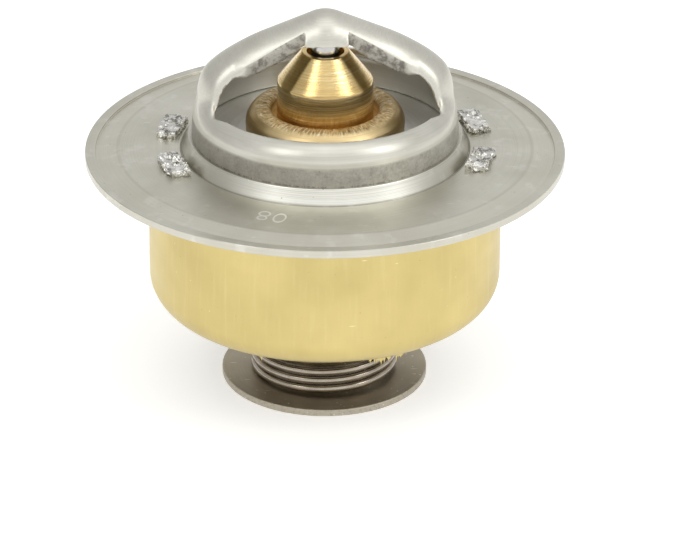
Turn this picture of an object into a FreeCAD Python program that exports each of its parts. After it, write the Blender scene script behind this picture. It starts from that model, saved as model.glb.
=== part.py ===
import FreeCAD, Part
import math
import os

from FreeCAD import Vector

# Engine thermostat, millimetres, +Z up along the axis.
# The origin is on the axis, in the plane of the flange's sealing face.
# The bridge spans the X axis and its two windows face -Y and +Y.

# Flange
FLANGE_R = 33.5
SHEET = 1.1
LIP_W = 1.45
LIP_GROOVE = 0.5
SLOPE_W = 4.6
SEAT_W = 2.9
PLATEAU_LIFT = 0.3
EDGE_CHAMFER = 0.2

# Neck and collar
COLLAR_R = 18.64
COLLAR_H = 3.6
NECK_H = 1.8
NECK_FLARE = 0.9
FOOT_GROOVE = 0.12
LEDGE_W = 0.46
LEDGE_H = 0.3
SHOULDER_R = 2.55
RIM_IN = 2.24

# Bridge arch
ARCH_RISE = 15.0
ARCH_R = 4.3
APEX_BEND_R = 5.0
UPPER_SLOPE = 22.0
HAUNCH_BEND_R = 30.0
LOWER_SLOPE = 40.0
FOOT_BEND_R = 6.0
HAUNCH_R = 9.0
HAUNCH_SET = 0.14

# Windows beside the arch
STRAP_HALF = 2.65
STRAP_FLARE = 0.117
WINDOW_CORNER_R = 2.0

# Piston and its boss
PISTON_R = 2.0
PISTON_FIT = 0.05
BOSS_WALL = 1.02
BOSS_DEPTH = 3.65
BOSS_CAP = 1.4
PISTON_TIP = 0.8

# Piston guide
GUIDE_R = 6.7
GUIDE_MOUTH_WALL = 1.25
GUIDE_GAP = 2.35
GUIDE_CONE_H = 4.3
GUIDE_FLANGE_T = 0.8
MOUTH_RECESS = 0.55
MOUTH_RECESS_DEPTH = 1.5

# Wax element
CASE_R = 8.9
CASE_WALL = 1.1
CASE_END_MARGIN = 0.75
CASE_FLOOR = 2.6
CRIMP_STEP = 2.2
CRIMP_WALL = 1.9
CRIMP_LIP_H = 1.9
CRIMP_ROLL_R = 1.75
CRIMP_NOSE_R = 1.7
CRIMP_GAP = 0.76
CRIMP_LEDGE = 1.0
SLEEVE_FLANGE_T = 0.7
SLEEVE_WALL = 1.45
SLEEVE_TAPER = 0.8
SLEEVE_TIP_WALL = 1.6
SLEEVE_TIP_H = 4.9
SLEEVE_END_GAP = 3.4
CHAFE_RING_W = 1.55
CHAFE_RING_T = 0.9

# Main valve disc and spring
VALVE_DISC_T = 0.9
VALVE_DISC_GAP = 0.3
MAIN_WIRE_R = 0.9
MAIN_COIL_GAP = 0.5
MAIN_SPRING_L = 18.1
MAIN_TURNS = 4.6

# Shroud cup
CUP_SHEET = 0.8
CUP_ROOM = 1.12
CUP_DEPTH = 22.1
CUP_CORNER_R = 4.6
CUP_TOP_CORNER_R = 1.4
CUP_END_W = 1.32
CUP_RIM_W = 1.0

# Stirrup under the flange
STIRRUP_SHEET = 1.2
STIRRUP_OFFSET = 2.2
STIRRUP_BEND_R = 2.0
PLATE_LAND = 0.5
LEG_MARGIN = 0.5
LEG_END_HALF = 6.0
LEG_SLOPE_H = 7.8
GUIDE_HOLE_GAP = 0.3
GUIDE_HOLE_LIP = 1.2
PRONG_ANGLE = 17.0
PRONG_W = 5.6
PRONG_GAP = 0.1
PRONG_HEAD_H = 0.85
PRONG_SPREAD = 0.4
PRONG_UPSET = 0.75
PRONG_HEAD_ROUND = 0.5

# Bypass valve
BYPASS_R = 14.55
BYPASS_SHEET = 1.0
BYPASS_SPRING_L = 13.95
BYPASS_DISH_H = 2.6
DISH_GAP = 1.1
DISH_SLOPE_W = 2.2
DISH_BEND_R = 0.8
STEM_R = 2.6
STEM_FIT = 0.05
STEM_SEAT_DEPTH = 1.8
STEM_END_GAP = 0.8
BUSH_WALL = 1.0
BUSH_FLANGE_W = 1.4
BUSH_FLANGE_T = 0.4
CLIP_T = 0.8
CLIP_GROOVE = 0.5
CLIP_W = 1.7
CLIP_SLOT = 2.2
BYPASS_WIRE_R = 0.6
BYPASS_COIL_GAP = 0.4
BYPASS_WIRE_GAP = 0.15
BYPASS_CLOSED_TURNS = 3.2
BYPASS_TURNS = 6.6
BYPASS_START = 90.0
SEAT_WASHER_T = 0.7
SEAT_WASHER_W = 1.9
SEAT_WASHER_GAP = 0.1
SNAP_RING_T = 0.7
SNAP_RING_W = 1.4
SNAP_GROOVE = 0.5
SNAP_SLOT = 2.4
SNAP_RING_DROP = 0.35

# Springs
END_TURNS = 0.9
GROUND_SHARE = 0.45
COIL_STEPS = 16

# Flange and bridge, worked out
PLATEAU_UNDER_Z = PLATEAU_LIFT
PLATEAU_Z = PLATEAU_LIFT + SHEET
CREASE_R = FLANGE_R - SLOPE_W
LEDGE_R = COLLAR_R + LEDGE_W
NECK_FOOT_R = LEDGE_R + NECK_FLARE
VALVE_SEAT_Z = PLATEAU_Z + NECK_H
LEDGE_Z = VALVE_SEAT_Z + LEDGE_H
SHOULDER_Z = VALVE_SEAT_Z + COLLAR_H
RIM_R = COLLAR_R - RIM_IN
RIM_TOP_Z = SHOULDER_Z + SHOULDER_R
APEX_Z = SHOULDER_Z + ARCH_RISE
HAUNCH_X = COLLAR_R - HAUNCH_R - HAUNCH_SET
BORE_R = PISTON_R + PISTON_FIT
BOSS_HALF = BORE_R + BOSS_WALL
BOSS_END_Z = APEX_Z - BOSS_DEPTH
PISTON_TOP_Z = APEX_Z - BOSS_CAP

# Upper part of the element, worked out
POCKET_R = COLLAR_R - VALVE_DISC_GAP
VALVE_DISC_R = POCKET_R - VALVE_DISC_GAP
VALVE_DISC_Z = VALVE_SEAT_Z - VALVE_DISC_T
GUIDE_TOP_Z = BOSS_END_Z - GUIDE_GAP
GUIDE_CONE_Z = GUIDE_TOP_Z - GUIDE_CONE_H
GUIDE_MOUTH_R = BORE_R + GUIDE_MOUTH_WALL
CHAFE_RING_R = BORE_R + CHAFE_RING_W
CRIMP_R = CASE_R + CRIMP_STEP
CRIMP_LIP_R = GUIDE_R + CRIMP_GAP
GUIDE_FLANGE_R = CRIMP_R - CRIMP_WALL
SLEEVE_SEAT_Z = VALVE_SEAT_Z + CRIMP_LEDGE
GUIDE_BASE_Z = SLEEVE_SEAT_Z + SLEEVE_FLANGE_T
GUIDE_FLANGE_Z = GUIDE_BASE_Z + GUIDE_FLANGE_T
CRIMP_TOP_Z = GUIDE_FLANGE_Z + CRIMP_LIP_H

# Stirrup and cup, worked out
MAIN_COIL_R = CRIMP_R + MAIN_COIL_GAP + MAIN_WIRE_R
STIRRUP_PLATE_R = MAIN_COIL_R + MAIN_WIRE_R + PLATE_LAND
STIRRUP_PLATE_Z = VALVE_DISC_Z - MAIN_SPRING_L
STIRRUP_BASE_Z = STIRRUP_PLATE_Z - STIRRUP_SHEET
STIRRUP_TOP_Z = PLATEAU_UNDER_Z - CUP_SHEET
STIRRUP_R = NECK_FOOT_R + STIRRUP_OFFSET
STIRRUP_IN_R = STIRRUP_R - STIRRUP_SHEET / 2
STIRRUP_OUT_R = STIRRUP_R + STIRRUP_SHEET / 2
LEG_SLOPE_Z = STIRRUP_PLATE_Z + LEG_SLOPE_H
LEG_TOP_HALF = STIRRUP_R * math.sin(math.radians(PRONG_ANGLE)) + PRONG_W / 2 + LEG_MARGIN
GUIDE_HOLE_R = CASE_R + GUIDE_HOLE_GAP
CUP_R = STIRRUP_OUT_R + CUP_ROOM + CUP_SHEET
CUP_RIM_R = STIRRUP_IN_R - CUP_RIM_W
CUP_MOUTH_R = CUP_R - CUP_CORNER_R - CUP_END_W
CUP_END_Z = PLATEAU_UNDER_Z - CUP_DEPTH

# Lower part of the element, worked out
SNAP_RING_TOP_Z = STIRRUP_BASE_Z - SNAP_RING_DROP
SNAP_RING_Z = SNAP_RING_TOP_Z - SNAP_RING_T
SEAT_WASHER_Z = SNAP_RING_Z - SEAT_WASHER_T
CASE_END_Z = SEAT_WASHER_Z - CASE_END_MARGIN
CAVITY_R = CASE_R - CASE_WALL
CAVITY_END_Z = CASE_END_Z + CASE_FLOOR
SLEEVE_END_R = BORE_R + SLEEVE_WALL
SLEEVE_TOP_R = SLEEVE_END_R + SLEEVE_TAPER
SLEEVE_END_Z = CAVITY_END_Z + SLEEVE_END_GAP
PISTON_END_Z = SLEEVE_END_Z + SLEEVE_TIP_H

# Bypass valve, worked out
BYPASS_COIL_R = CASE_R + BYPASS_COIL_GAP + BYPASS_WIRE_R
BYPASS_DISH_R = BYPASS_COIL_R - BYPASS_WIRE_R - DISH_GAP
BYPASS_HUB_R = BYPASS_DISH_R - DISH_SLOPE_W
BYPASS_TOP_Z = SEAT_WASHER_Z - BYPASS_SPRING_L
BYPASS_FACE_Z = BYPASS_TOP_Z - BYPASS_SHEET
HUB_TOP_Z = BYPASS_TOP_Z + BYPASS_DISH_H
HUB_UNDER_Z = BYPASS_FACE_Z + BYPASS_DISH_H
BUSH_END_Z = HUB_UNDER_Z - BUSH_FLANGE_T
CLIP_Z = BUSH_END_Z - CLIP_T
STEM_END_Z = CLIP_Z - STEM_END_GAP
STEM_BORE_R = STEM_R + STEM_FIT
BUSH_R = STEM_BORE_R + BUSH_WALL

# Reach of a cutting block, and how close two sizes are to be the same
FAR = 60.0
NEAR = 0.001


def revolved(profile):
    """Turn a closed profile of (r, z) points about the axis."""
    corners = [Vector(r, 0, z) for r, z in profile]
    wire = Part.makePolygon(corners + corners[:1])
    return Part.Face(wire).revolve(Vector(0, 0, 0), Vector(0, 0, 1), 360)


def revolved_edges(edges):
    """Turn a closed chain of edges in the XZ plane about the axis."""
    wire = Part.Wire(Part.__sortEdges__(edges))
    return Part.Face(wire).revolve(Vector(0, 0, 0), Vector(0, 0, 1), 360)


def line(a, b):
    return Part.LineSegment(Vector(a[0], 0, a[1]), Vector(b[0], 0, b[1])).toShape()


def arc(centre, radius, start, end):
    """Arc in the XZ plane between two angles in degrees, through the middle one."""
    angles = [start, (start + end) / 2, end]
    points = []
    for angle in angles:
        turn = math.radians(angle)
        points.append(Vector(centre[0] + radius * math.cos(turn), 0, centre[1] + radius * math.sin(turn)))
    return Part.Arc(*points).toShape()


def tube(outer, inner, low, high):
    solid = Part.makeCylinder(outer, high - low, Vector(0, 0, low))
    return solid.cut(Part.makeCylinder(inner, high - low, Vector(0, 0, low)))


def rounded_rings(solid, radius, rings):
    """Round the circular edges that lie at the given (r, z) places."""
    picked = []
    for edge in solid.Edges:
        if not isinstance(edge.Curve, Part.Circle):
            continue
        for r, z in rings:
            if abs(edge.Curve.Radius - r) < NEAR and abs(edge.Curve.Center.z - z) < NEAR:
                picked.append(edge)
    return solid.makeFillet(radius, picked)


def prong_angles():
    """Angles of the four prongs, two on each leg of the stirrup."""
    angles = []
    for side in (0.0, 180.0):
        for offset in (-PRONG_ANGLE, PRONG_ANGLE):
            angles.append(side + offset)
    return angles


def block_at(radius, angle, depth, width, low, high):
    """Upright block, deep along the radius and wide across it."""
    block = Part.makeBox(depth, width, high - low, Vector(radius - depth / 2, -width / 2, low))
    block.rotate(Vector(0, 0, 0), Vector(0, 0, 1), angle)
    return block


def flange_base():
    """Flange, plateau and neck up to the coined ledge."""
    lip_in_r = FLANGE_R - LIP_W
    groove_z = SHEET - LIP_GROOVE
    seat_in_r = FLANGE_R - SEAT_W
    profile = [
        (POCKET_R, LEDGE_Z),
        (LEDGE_R, LEDGE_Z),
        (NECK_FOOT_R, PLATEAU_Z),
        (NECK_FOOT_R + FOOT_GROOVE, PLATEAU_Z - FOOT_GROOVE),
        (NECK_FOOT_R + 2 * FOOT_GROOVE, PLATEAU_Z),
        (CREASE_R, PLATEAU_Z),
        (lip_in_r, groove_z),
        (lip_in_r, SHEET),
        (FLANGE_R - EDGE_CHAMFER, SHEET),
        (FLANGE_R, SHEET - EDGE_CHAMFER),
        (FLANGE_R, 0),
        (seat_in_r, 0),
        (seat_in_r - PLATEAU_LIFT, PLATEAU_UNDER_Z),
        (POCKET_R + SHEET, PLATEAU_UNDER_Z),
        (POCKET_R, PLATEAU_UNDER_Z + SHEET),
    ]
    return revolved(profile)


def arch_spine():
    """Edges of the arch's centre line in the XZ plane, from the right foot to the left one."""
    upper = math.radians(UPPER_SLOPE)
    lower = math.radians(LOWER_SLOPE)
    apex_r = APEX_BEND_R - ARCH_R
    haunch_r = HAUNCH_BEND_R - ARCH_R
    foot_r = FOOT_BEND_R - ARCH_R
    foot_x = COLLAR_R - ARCH_R
    bends = apex_r * math.sin(upper) + foot_r * (1 - math.sin(lower))
    bends += haunch_r * (math.sin(lower) - math.sin(upper))
    run = (foot_x - bends) / math.cos(upper)

    apex_c = (0, APEX_Z - APEX_BEND_R)
    apex_end = (apex_r * math.sin(upper), apex_c[1] + apex_r * math.cos(upper))
    run_end = (apex_end[0] + run * math.cos(upper), apex_end[1] - run * math.sin(upper))
    haunch_c = (run_end[0] - haunch_r * math.sin(upper), run_end[1] - haunch_r * math.cos(upper))
    haunch_end = (haunch_c[0] + haunch_r * math.sin(lower), haunch_c[1] + haunch_r * math.cos(lower))
    foot_c = (haunch_end[0] - foot_r * math.sin(lower), haunch_end[1] - foot_r * math.cos(lower))
    foot_z = VALVE_SEAT_Z + SHEET

    half = [
        line((foot_x, foot_z), (foot_x, foot_c[1])),
        arc(foot_c, foot_r, 0, 90 - LOWER_SLOPE),
        arc(haunch_c, haunch_r, 90 - LOWER_SLOPE, 90 - UPPER_SLOPE),
        line(run_end, apex_end),
    ]
    apex = arc(apex_c, apex_r, 90 - UPPER_SLOPE, 90 + UPPER_SLOPE)
    other = [edge.mirror(Vector(0, 0, 0), Vector(1, 0, 0)) for edge in half]
    return half + [apex] + other[::-1], foot_x, foot_z


def arch_form(radius):
    """Solid half-round bar that follows the arch, round side outwards."""
    spine, foot_x, foot_z = arch_spine()
    right = Vector(foot_x, radius, foot_z)
    left = Vector(foot_x, -radius, foot_z)
    crest = Vector(foot_x + radius, 0, foot_z)
    section = Part.Wire([Part.Arc(right, crest, left).toShape(), Part.LineSegment(left, right).toShape()])
    return Part.Wire(spine).makePipeShell([section], True, False)


def arch_void(half_width):
    """Space under the arch, between its feet."""
    spine, foot_x, foot_z = arch_spine()
    closing = line((-foot_x, foot_z), (foot_x, foot_z))
    face = Part.Face(Part.Wire(spine + [closing]))
    face.translate(Vector(0, -half_width, 0))
    return face.extrude(Vector(0, 2 * half_width, 0))


def collar_form(inset):
    """Collar and its rounded shoulder as a full solid, drawn in by inset."""
    radius = COLLAR_R - inset
    bend = SHOULDER_R - inset
    top = RIM_TOP_Z - inset
    edges = [
        line((0, VALVE_SEAT_Z), (radius, VALVE_SEAT_Z)),
        line((radius, VALVE_SEAT_Z), (radius, SHOULDER_Z)),
        arc((radius - bend, SHOULDER_Z), bend, 0, 90),
        line((radius - bend, top), (0, top)),
        line((0, top), (0, VALVE_SEAT_Z)),
    ]
    return revolved_edges(edges)


def drawn_form(inset):
    """Collar, arch and the round haunches that join them, as one solid drawn in by inset."""
    form = collar_form(inset).fuse(arch_form(ARCH_R - inset))
    beyond = Part.makeBox(FAR, 2 * FAR, FAR, Vector(HAUNCH_X, -FAR, VALVE_SEAT_Z))
    haunch = Part.makeSphere(HAUNCH_R - inset, Vector(HAUNCH_X, 0, SHOULDER_Z)).common(beyond)
    for turn in (0, 180):
        side = haunch.copy()
        side.rotate(Vector(0, 0, 0), Vector(0, 0, 1), turn)
        form = form.fuse(side)
    return form


def window_cutter(side):
    """Upright punch for one window: the rim circle cut off along the strap's edge."""
    reach = RIM_R
    edge_y = STRAP_HALF + STRAP_FLARE * reach
    disc = Part.makeCylinder(RIM_R, FAR, Vector(0, 0, VALVE_SEAT_Z + SHEET))
    outline = [(-reach, -edge_y), (0, -STRAP_HALF), (reach, -edge_y), (reach, -reach), (-reach, -reach)]
    corners = [Vector(x, y, 0) for x, y in outline]
    face = Part.Face(Part.makePolygon(corners + corners[:1]))
    punch = disc.common(face.extrude(Vector(0, 0, FAR)))
    ends = []
    for edge in punch.Edges:
        upright = edge.BoundBox.ZLength > SHEET and edge.BoundBox.XLength < 0.01
        if upright and abs(edge.BoundBox.Center.x) > STRAP_HALF:
            ends.append(edge)
    punch = punch.makeFillet(WINDOW_CORNER_R, ends)
    if side > 0:
        punch.rotate(Vector(0, 0, 0), Vector(0, 0, 1), 180)
    return punch


def flange_bridge():
    """The one stainless stamping: flange, neck, collar and bridge."""
    outer = drawn_form(0)
    shell = outer.cut(drawn_form(SHEET)).cut(arch_void(ARCH_R - SHEET))
    foot_x = COLLAR_R - ARCH_R
    foot_y = STRAP_HALF + STRAP_FLARE * RIM_R
    low = VALVE_SEAT_Z + SHEET
    shell = shell.cut(Part.makeBox(2 * foot_x, 2 * foot_y, RIM_TOP_Z - low, Vector(-foot_x, -foot_y, low)))
    shell = shell.cut(window_cutter(-1)).cut(window_cutter(1))
    boss_zone = Part.makeBox(2 * BOSS_HALF, 2 * ARCH_R, BOSS_DEPTH, Vector(-BOSS_HALF, -ARCH_R, BOSS_END_Z))
    boss = outer.common(boss_zone)
    bore = Part.makeCylinder(BORE_R, PISTON_TOP_Z - BOSS_END_Z, Vector(0, 0, BOSS_END_Z))
    stamping = shell.fuse(boss).fuse(flange_base()).cut(bore)
    for angle in prong_angles():
        slot = block_at(STIRRUP_R, angle, STIRRUP_SHEET + 2 * PRONG_GAP, PRONG_W + 2 * PRONG_GAP, -FAR, FAR)
        stamping = stamping.cut(slot)
    return stamping


def piston():
    """Plain ground pin with a blunt lower tip."""
    profile = [
        (0, PISTON_TOP_Z),
        (PISTON_R, PISTON_TOP_Z),
        (PISTON_R, PISTON_END_Z + PISTON_TIP),
        (PISTON_R - PISTON_TIP, PISTON_END_Z),
        (0, PISTON_END_Z),
    ]
    return revolved(profile)


def piston_guide():
    """Turned brass guide: flange, cylinder, cone and mouth."""
    profile = [
        (CHAFE_RING_R, GUIDE_BASE_Z),
        (GUIDE_FLANGE_R, GUIDE_BASE_Z),
        (GUIDE_FLANGE_R, GUIDE_FLANGE_Z),
        (GUIDE_R, GUIDE_FLANGE_Z),
        (GUIDE_R, GUIDE_CONE_Z),
        (GUIDE_MOUTH_R, GUIDE_TOP_Z),
        (BORE_R + MOUTH_RECESS, GUIDE_TOP_Z),
        (BORE_R + MOUTH_RECESS, GUIDE_TOP_Z - MOUTH_RECESS_DEPTH),
        (BORE_R, GUIDE_TOP_Z - MOUTH_RECESS_DEPTH),
        (BORE_R, GUIDE_BASE_Z + CHAFE_RING_T),
        (CHAFE_RING_R, GUIDE_BASE_Z + CHAFE_RING_T),
    ]
    return revolved(profile)


def chafe_ring():
    """Low-friction ring that keeps the rubber out of the guide's bore."""
    return tube(CHAFE_RING_R, BORE_R, GUIDE_BASE_Z, GUIDE_BASE_Z + CHAFE_RING_T)


def rubber_sleeve():
    """Rubber boot round the piston, held by its flange."""
    bore_end = PISTON_END_Z
    profile = [
        (BORE_R, GUIDE_BASE_Z),
        (GUIDE_FLANGE_R, GUIDE_BASE_Z),
        (GUIDE_FLANGE_R, SLEEVE_SEAT_Z),
        (SLEEVE_TOP_R, SLEEVE_SEAT_Z),
        (SLEEVE_END_R, SLEEVE_END_Z + SLEEVE_TIP_WALL),
        (SLEEVE_END_R - SLEEVE_TIP_WALL, SLEEVE_END_Z),
        (0, SLEEVE_END_Z),
        (0, bore_end),
        (BORE_R - PISTON_TIP, bore_end),
        (BORE_R, bore_end + PISTON_TIP),
    ]
    return revolved(profile)


def wax_charge():
    """Wax filling between the sleeve and the case."""
    room = Part.makeCylinder(CAVITY_R, SLEEVE_SEAT_Z - CAVITY_END_Z, Vector(0, 0, CAVITY_END_Z))
    profile = [
        (0, SLEEVE_SEAT_Z),
        (SLEEVE_TOP_R, SLEEVE_SEAT_Z),
        (SLEEVE_END_R, SLEEVE_END_Z + SLEEVE_TIP_WALL),
        (SLEEVE_END_R - SLEEVE_TIP_WALL, SLEEVE_END_Z),
        (0, SLEEVE_END_Z),
    ]
    return room.cut(revolved(profile))


def wax_case():
    """Brass case with its rim rolled over the guide's flange."""
    half_lip = (CRIMP_R - CRIMP_LIP_R) / 2
    roll = min(CRIMP_ROLL_R, half_lip)
    nose = min(CRIMP_NOSE_R, half_lip - NEAR)
    roll_c = (CRIMP_R - roll, CRIMP_TOP_Z - roll)
    nose_c = (CRIMP_LIP_R + nose, CRIMP_TOP_Z - nose)
    corner = CASE_WALL
    floor_z = CASE_END_Z
    hole_top = floor_z + STEM_SEAT_DEPTH
    edges = [
        line((0, hole_top), (STEM_R, hole_top)),
        line((STEM_R, hole_top), (STEM_R, floor_z)),
        line((STEM_R, floor_z), (CASE_R - corner, floor_z)),
        arc((CASE_R - corner, floor_z + corner), corner, -90, 0),
        line((CASE_R, floor_z + corner), (CASE_R, VALVE_SEAT_Z)),
        line((CASE_R, VALVE_SEAT_Z), (CRIMP_R, VALVE_SEAT_Z)),
        line((CRIMP_R, VALVE_SEAT_Z), (CRIMP_R, roll_c[1])),
        arc(roll_c, roll, 0, 90),
        line((roll_c[0], CRIMP_TOP_Z), (nose_c[0], CRIMP_TOP_Z)),
        arc(nose_c, nose, 90, 180),
        line((CRIMP_LIP_R, nose_c[1]), (CRIMP_LIP_R, GUIDE_FLANGE_Z)),
        line((CRIMP_LIP_R, GUIDE_FLANGE_Z), (GUIDE_FLANGE_R, GUIDE_FLANGE_Z)),
        line((GUIDE_FLANGE_R, GUIDE_FLANGE_Z), (GUIDE_FLANGE_R, SLEEVE_SEAT_Z)),
        line((GUIDE_FLANGE_R, SLEEVE_SEAT_Z), (CAVITY_R, SLEEVE_SEAT_Z)),
        line((CAVITY_R, SLEEVE_SEAT_Z), (CAVITY_R, CAVITY_END_Z)),
        line((CAVITY_R, CAVITY_END_Z), (0, CAVITY_END_Z)),
        line((0, CAVITY_END_Z), (0, hole_top)),
    ]
    case = revolved_edges(edges)
    groove = tube(CASE_R + SNAP_GROOVE, CASE_R - SNAP_GROOVE, SNAP_RING_Z, SNAP_RING_TOP_Z)
    return case.cut(groove)


def valve_disc():
    """Main valve plate, pushed up against the case's crimp by the spring."""
    return tube(VALVE_DISC_R, CASE_R, VALVE_DISC_Z, VALVE_SEAT_Z)


def shroud_cup():
    """Drawn brass cup, clamped by its in-turned rim, open at the bottom."""
    in_r = CUP_R - CUP_SHEET
    top = PLATEAU_UNDER_Z
    under = top - CUP_SHEET
    end_in = CUP_END_Z + CUP_SHEET
    top_in_bend = CUP_TOP_CORNER_R - CUP_SHEET
    end_in_bend = CUP_CORNER_R - CUP_SHEET
    top_c = (CUP_R - CUP_TOP_CORNER_R, top - CUP_TOP_CORNER_R)
    end_c = (CUP_R - CUP_CORNER_R, CUP_END_Z + CUP_CORNER_R)
    edges = [
        line((CUP_RIM_R, top), (top_c[0], top)),
        arc(top_c, CUP_TOP_CORNER_R, 90, 0),
        line((CUP_R, top_c[1]), (CUP_R, end_c[1])),
        arc(end_c, CUP_CORNER_R, 0, -90),
        line((end_c[0], CUP_END_Z), (CUP_MOUTH_R, CUP_END_Z)),
        line((CUP_MOUTH_R, CUP_END_Z), (CUP_MOUTH_R, end_in)),
        line((CUP_MOUTH_R, end_in), (end_c[0], end_in)),
        arc(end_c, end_in_bend, -90, 0),
        line((in_r, end_c[1]), (in_r, top_c[1])),
        arc(top_c, top_in_bend, 0, 90),
        line((top_c[0], under), (CUP_RIM_R, under)),
        line((CUP_RIM_R, under), (CUP_RIM_R, top)),
    ]
    cup = revolved_edges(edges)
    for angle in prong_angles():
        slot = block_at(STIRRUP_R, angle, STIRRUP_SHEET + 2 * PRONG_GAP, PRONG_W + 2 * PRONG_GAP, under, top)
        cup = cup.cut(slot)
    return cup


def stirrup_sheet():
    """Full bowl of the stirrup's sheet, before it is trimmed to two legs."""
    slope = math.atan2(LEG_SLOPE_H, STIRRUP_IN_R - STIRRUP_PLATE_R)
    plate_shift = STIRRUP_SHEET * math.tan(slope / 2)
    leg_shift = STIRRUP_SHEET * math.tan(math.radians(45) - slope / 2)
    outer_top = (STIRRUP_OUT_R, LEG_SLOPE_Z - leg_shift)
    outer_end = (STIRRUP_PLATE_R + plate_shift, STIRRUP_BASE_Z)
    inner_end = (STIRRUP_PLATE_R, STIRRUP_PLATE_Z)
    inner_top = (STIRRUP_IN_R, LEG_SLOPE_Z)
    profile = [
        (STIRRUP_OUT_R, STIRRUP_TOP_Z),
        outer_top,
        outer_end,
        (GUIDE_HOLE_R, STIRRUP_BASE_Z),
        (GUIDE_HOLE_R, STIRRUP_PLATE_Z + GUIDE_HOLE_LIP),
        (GUIDE_HOLE_R + STIRRUP_SHEET, STIRRUP_PLATE_Z + GUIDE_HOLE_LIP),
        (GUIDE_HOLE_R + STIRRUP_SHEET, STIRRUP_PLATE_Z),
        inner_end,
        inner_top,
        (STIRRUP_IN_R, STIRRUP_TOP_Z),
    ]
    sheet = rounded_rings(revolved(profile), STIRRUP_BEND_R, [inner_end, inner_top])
    return rounded_rings(sheet, STIRRUP_BEND_R + STIRRUP_SHEET, [outer_top, outer_end])


def stirrup():
    """Pressed stirrup: two legs, a spring plate and four peened prongs."""
    outline = [
        (-LEG_TOP_HALF, STIRRUP_TOP_Z),
        (LEG_TOP_HALF, STIRRUP_TOP_Z),
        (LEG_TOP_HALF, LEG_SLOPE_Z),
        (LEG_END_HALF, STIRRUP_BASE_Z),
        (-LEG_END_HALF, STIRRUP_BASE_Z),
        (-LEG_TOP_HALF, LEG_SLOPE_Z),
    ]
    corners = [Vector(-FAR, y, z) for y, z in outline]
    legs = Part.Face(Part.makePolygon(corners + corners[:1])).extrude(Vector(2 * FAR, 0, 0))
    plate = Part.makeCylinder(STIRRUP_PLATE_R, FAR, Vector(0, 0, STIRRUP_BASE_Z))
    body = stirrup_sheet().common(legs.fuse(plate))
    top = PLATEAU_Z + PRONG_HEAD_H
    head_depth = STIRRUP_SHEET + 2 * PRONG_UPSET
    head_width = PRONG_W + 2 * PRONG_SPREAD
    for angle in prong_angles():
        prong = block_at(STIRRUP_R, angle, STIRRUP_SHEET, PRONG_W, STIRRUP_TOP_Z - SHEET, PLATEAU_Z)
        head = block_at(STIRRUP_R, angle, head_depth, head_width, PLATEAU_Z, top)
        crown = [edge for edge in head.Edges if edge.BoundBox.ZMin > PLATEAU_Z]
        head = head.makeFillet(PRONG_HEAD_ROUND, crown)
        body = body.fuse(prong).fuse(head)
    return body.removeSplitter()


def coil_heights(low, high, turns, closed_low, pitch_low):
    """Height of the wire at each step: closed end turns with open turns between."""
    total = int(round(turns * COIL_STEPS))
    open_turns = turns - closed_low - END_TURNS
    end_rise = END_TURNS * pitch_low
    open_pitch = (high - low - closed_low * pitch_low - end_rise) / open_turns
    heights = []
    for step in range(total + 1):
        turn = turns * step / total
        opened = min(max(turn - closed_low, 0), open_turns)
        closed = turn - opened
        heights.append(low + closed * pitch_low + opened * open_pitch)
    return heights


def coil_spring(coil_r, wire_r, low, high, turns, closed_low, pitch_low, start):
    """Compression spring whose ends are ground flat at low and high."""
    inset = wire_r * (1 - GROUND_SHARE)
    heights = coil_heights(low + inset, high - inset, turns, closed_low, pitch_low)
    points = []
    for step, height in enumerate(heights):
        angle = math.radians(start) + 2 * math.pi * turns * step / (len(heights) - 1)
        points.append(Vector(coil_r * math.cos(angle), coil_r * math.sin(angle), height))
    curve = Part.BSplineCurve()
    curve.interpolate(points)
    path = Part.Wire([curve.toShape()])
    section = Part.Wire([Part.Circle(points[0], curve.tangent(curve.FirstParameter)[0], wire_r).toShape()])
    wire = path.makePipeShell([section], True, True)
    slab = Part.makeCylinder(coil_r + 2 * wire_r, high - low, Vector(0, 0, low))
    return wire.common(slab)


def main_spring():
    """Return spring between the stirrup's plate and the valve disc."""
    pitch = 2 * MAIN_WIRE_R
    return coil_spring(
        MAIN_COIL_R, MAIN_WIRE_R, STIRRUP_PLATE_Z, VALVE_DISC_Z, MAIN_TURNS, END_TURNS, pitch, 0
    )


def bypass_spring():
    """Light spring between the seat washer and the bypass disc."""
    pitch = 2 * BYPASS_WIRE_R + BYPASS_WIRE_GAP
    return coil_spring(
        BYPASS_COIL_R, BYPASS_WIRE_R, BYPASS_TOP_Z, SEAT_WASHER_Z, BYPASS_TURNS,
        BYPASS_CLOSED_TURNS, pitch, BYPASS_START
    )


def open_ring(inner, outer, low, high, slot):
    """Flat ring with a slot in its side."""
    ring = tube(outer, inner, low, high)
    return ring.cut(Part.makeBox(FAR, slot, high - low, Vector(0, -slot / 2, low)))


def snap_ring():
    """Snap ring in the case's groove, above the seat washer."""
    inner = CASE_R - SNAP_GROOVE
    return open_ring(inner, inner + SNAP_RING_W, SNAP_RING_Z, SNAP_RING_TOP_Z, SNAP_SLOT)


def seat_washer():
    """Washer that carries the upper end of the bypass spring."""
    inner = CASE_R + SEAT_WASHER_GAP
    return tube(inner + SEAT_WASHER_W, inner, SEAT_WASHER_Z, SNAP_RING_Z)


def bypass_stem():
    """Steel stem pressed into the case, with a groove for the clip."""
    groove_r = STEM_R - CLIP_GROOVE
    profile = [
        (0, CASE_END_Z + STEM_SEAT_DEPTH),
        (STEM_R, CASE_END_Z + STEM_SEAT_DEPTH),
        (STEM_R, BUSH_END_Z),
        (groove_r, BUSH_END_Z),
        (groove_r, CLIP_Z),
        (STEM_R, CLIP_Z),
        (STEM_R, STEM_END_Z + CLIP_GROOVE),
        (groove_r, STEM_END_Z),
        (0, STEM_END_Z),
    ]
    return revolved(profile)


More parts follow.
